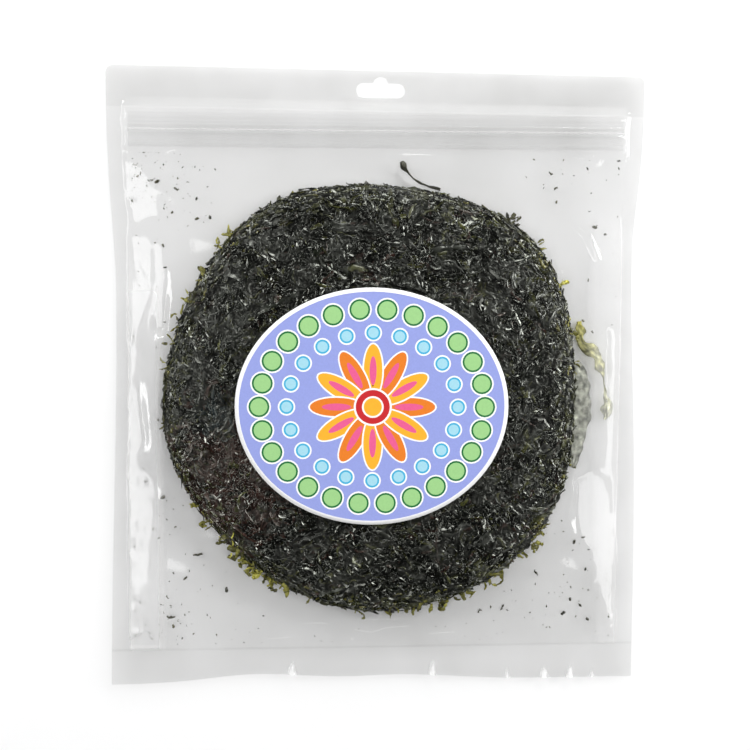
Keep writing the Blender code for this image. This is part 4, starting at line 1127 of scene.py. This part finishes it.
def flakes_and_crumbs():
    draw = np.random.default_rng(83)
    for number, (x, y, length, width, turn) in enumerate(FLAKES, 1):
        tint = np.array([BLADE_BROWN]) * draw.uniform(0.4, 1.6)
        row = [np.array([value]) for value in (x, y, 0.5 * length, 0.5 * width, math.radians(turn))]
        made = scraps(f"flake_{number:02d}", draw, *row, tint)
        made.data.materials.append(laver_dark)
        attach(made, "root")
        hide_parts(f"loose_flake_{number:02d}")
    x, y = [], []
    for middle_x, middle_y, reach_x, reach_y, count in CRUMB_FIELDS:
        x.append(np.clip(draw.normal(middle_x, reach_x, count), -0.136, 0.136))
        y.append(np.clip(draw.normal(middle_y, reach_y, count), POCKET_LOW + 0.003, POCKET_HIGH - 0.004))
    x, y = np.concatenate(x), np.concatenate(y)
    way, _, rim = from_cake(x, y)
    loose = way > rim + 0.004
    x, y = x[loose], y[loose]
    length = 0.0004 + draw.gamma(1.1, 0.00045, len(x))
    tints = np.array(BLADE_BROWN) * draw.uniform(0.3, 2.4, len(x))[:, None]
    width = length * draw.uniform(0.3, 0.8, len(x))
    made = scraps("crumbs", draw, x, y, length, width, draw.uniform(0, 6.3, len(x)), tints)
    made.data.materials.append(laver_dark)
    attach(made, "root")


laver_olive = laver_finish("laver_olive", roughness=0.42, glow=0.35)
laver_thin = laver_finish("laver_thin", roughness=0.42, glow=0.35, opacity=0.8)
laver_pale = laver_finish("laver_pale", roughness=0.45, glow=0.30, opacity=0.45)
ruffled_blade(
    "trailing_olive_frond", TRAILING, (BLADE_YELLOW, BLADE_PALE), 3, "trailing_frond",
    laver_thin,
)
ruffled_blade(
    "pale_rim_frond", PALE, (BLADE_VEIL, BLADE_VEIL), 5, "pale_frond", laver_pale, 0.0001, 0.12,
)
ruffled_blade("top_sprig", SPRIG, (BLADE_BROWN, BLADE_BROWN), 7, "stray_sprig", laver_olive)
rim_tufts()
flakes_and_crumbs()

# The label: an oval of printed paper stuck on the front panel. It has a white edge and a blue ground,
# printed with two rings of discs round a rosette of twelve petals, each an outline filled with one ink.
LABEL_EDGE = 2.2
LABEL_LIFT = 0.0004
LABEL_THICK = 0.0003
LABEL_GRID_REACH = 72
LABEL_GRID_STEP = 6.0
INK_WHITE = (250, 250, 250)
INK_GROUND = (150, 161, 224)
INK_PALE_GREEN = (158, 208, 138)
INK_DARK_GREEN = (16, 112, 56)
INK_TEAL = (62, 176, 218)
INK_PALE_TEAL = (164, 216, 232)
INK_SAND = (252, 178, 42)
INK_ORANGE = (232, 126, 30)
INK_PINK = (232, 92, 146)
INK_RED = (200, 34, 40)
DISC_RINGS = ((0.85, 26, 6.6, INK_DARK_GREEN, INK_PALE_GREEN), (0.645, 20, 4.8, INK_TEAL, INK_PALE_TEAL))
DISC_STEPS = (0.0, 0.9, 1.9)
PETALS = 12
PETAL_REACH = 20.0
PETAL_STEPS = ((15.5, 6.0), (14.6, 5.1), (8.0, 1.9))
CENTRE_DISCS = ((10.5, INK_WHITE), (9.4, INK_RED), (6.0, INK_WHITE), (5.0, INK_SAND))


def ink(colour):
    """Linear light from a printed colour of 0 to 255."""
    parts = np.array(colour) / 255
    return np.where(parts <= 0.04045, parts / 12.92, ((parts + 0.055) / 1.055) ** 2.4)


def oval(x, y, half_x, half_y, sides=24, turn=0.0):
    """An oval's outline; turn is in degrees."""
    angle = np.linspace(0, 2 * math.pi, sides, endpoint=False)
    across, up = half_x * np.cos(angle), half_y * np.sin(angle)
    cos, sin = math.cos(math.radians(turn)), math.sin(math.radians(turn))
    return np.stack((x + across * cos - up * sin, y + across * sin + up * cos), axis=-1)


def label_art():
    """The printed areas, each an outline in millimetres from the label's middle and its ink, lowest first."""
    half_x, half_y = LABEL_HALF[0] * 1000 - LABEL_EDGE, LABEL_HALF[1] * 1000 - LABEL_EDGE
    art = [(oval(0, 0, half_x, half_y, 88), INK_GROUND)]
    for reach, count, size, edge, fill in DISC_RINGS:
        for turn in np.arange(count) * 2 * math.pi / count:
            x, y = reach * half_x * math.cos(turn), reach * half_y * math.sin(turn)
            for step, colour in zip(DISC_STEPS, (INK_WHITE, edge, fill)):
                art.append((oval(x, y, size - step, size - step, 20), colour))
    for number in range(PETALS):
        turn = number * 360 / PETALS
        x, y = PETAL_REACH * math.cos(math.radians(turn)), PETAL_REACH * math.sin(math.radians(turn))
        inks = (INK_WHITE, INK_SAND if number % 2 else INK_ORANGE, INK_PINK)
        for (long, wide), colour in zip(PETAL_STEPS, inks):
            art.append((oval(x, y, long, wide, 28, turn), colour))
    for size, colour in CENTRE_DISCS:
        art.append((oval(0, 0, size, size, 32), colour))
    return art


def label_paper():
    """Printed and varnished paper: satin, with a faint grain."""
    finish = bpy.data.materials.new("label_print")
    finish.use_nodes = True
    tree = finish.node_tree
    shader = tree.nodes["Principled BSDF"]
    shader.inputs["Roughness"].default_value = 0.42
    shader.inputs["Specular IOR Level"].default_value = 0.35
    printed = add_node(tree, "Attribute", attribute_name="print").outputs["Color"]
    place = add_node(tree, "TexCoord").outputs["Object"]
    grain = add_node(tree, "TexNoise", {"Scale": 900}, {"Vector": place}).outputs["Fac"]
    strength = ranged(tree, grain, 0, 1, 0.90, 1.04)
    colour = add_node(tree, "VectorMath", None, {0: printed, "Scale": strength}, operation="SCALE")
    bump = add_node(tree, "Bump", {"Strength": 0.08, "Distance": 0.0002}, {"Height": grain})
    tree.links.new(colour.outputs["Vector"], shader.inputs["Base Color"])
    tree.links.new(bump.outputs["Normal"], shader.inputs["Normal"])
    return finish


def label():
    half_x, half_y = LABEL_HALF[0] * 1000, LABEL_HALF[1] * 1000
    border = oval(0, 0, half_x, half_y, 88)
    art = [(border, INK_WHITE)] + label_art()
    points, edges = [], []
    for outline, _ in art:
        first, count = len(points), len(outline)
        points += [Vector(spot) for spot in outline]
        edges += [(first + k, first + (k + 1) % count) for k in range(count)]
    grid = np.arange(-LABEL_GRID_REACH, LABEL_GRID_REACH + 1, LABEL_GRID_STEP)
    for x in grid:
        points += [Vector((x, y)) for y in grid if math.hypot(x / half_x, y / half_y) < 0.96]
    spots, _, triangles, _, _, _ = delaunay_2d_cdt(points, edges, [], 0, 0.02)
    flat = np.array([tuple(spot) for spot in spots])
    triangles = np.array([list(triangle) for triangle in triangles])
    middle = flat[triangles].mean(axis=1)
    shown = contains(border, middle[:, 0], middle[:, 1])
    triangles, middle = triangles[shown], middle[shown]
    ground = contains(art[1][0], middle[:, 0], middle[:, 1])
    colours = np.tile(ink(INK_WHITE), (len(triangles), 1))
    for outline, colour in art[1:]:
        colours[ground & contains(outline, middle[:, 0], middle[:, 1])] = ink(colour)
    x, y = LABEL_PLACE[0] + flat[:, 0] / 1000, LABEL_PLACE[1] + flat[:, 1] / 1000
    made = shape_mesh("oval_label", np.stack((x, y, front_height(x, y) + LABEL_LIFT), axis=-1), triangles)
    layer = made.data.attributes.new("print", "FLOAT_COLOR", "CORNER")
    rgba = np.concatenate((np.repeat(colours, 3, axis=0), np.ones((3 * len(triangles), 1))), axis=1)
    layer.data.foreach_set("color", rgba.astype(np.float32).ravel())
    made.data.shade_smooth()
    skin = made.modifiers.new("paper", "SOLIDIFY")
    skin.thickness = LABEL_THICK
    skin.offset = 1
    made.data.materials.append(label_paper())
    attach(made, "root")
    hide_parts("label")


label()
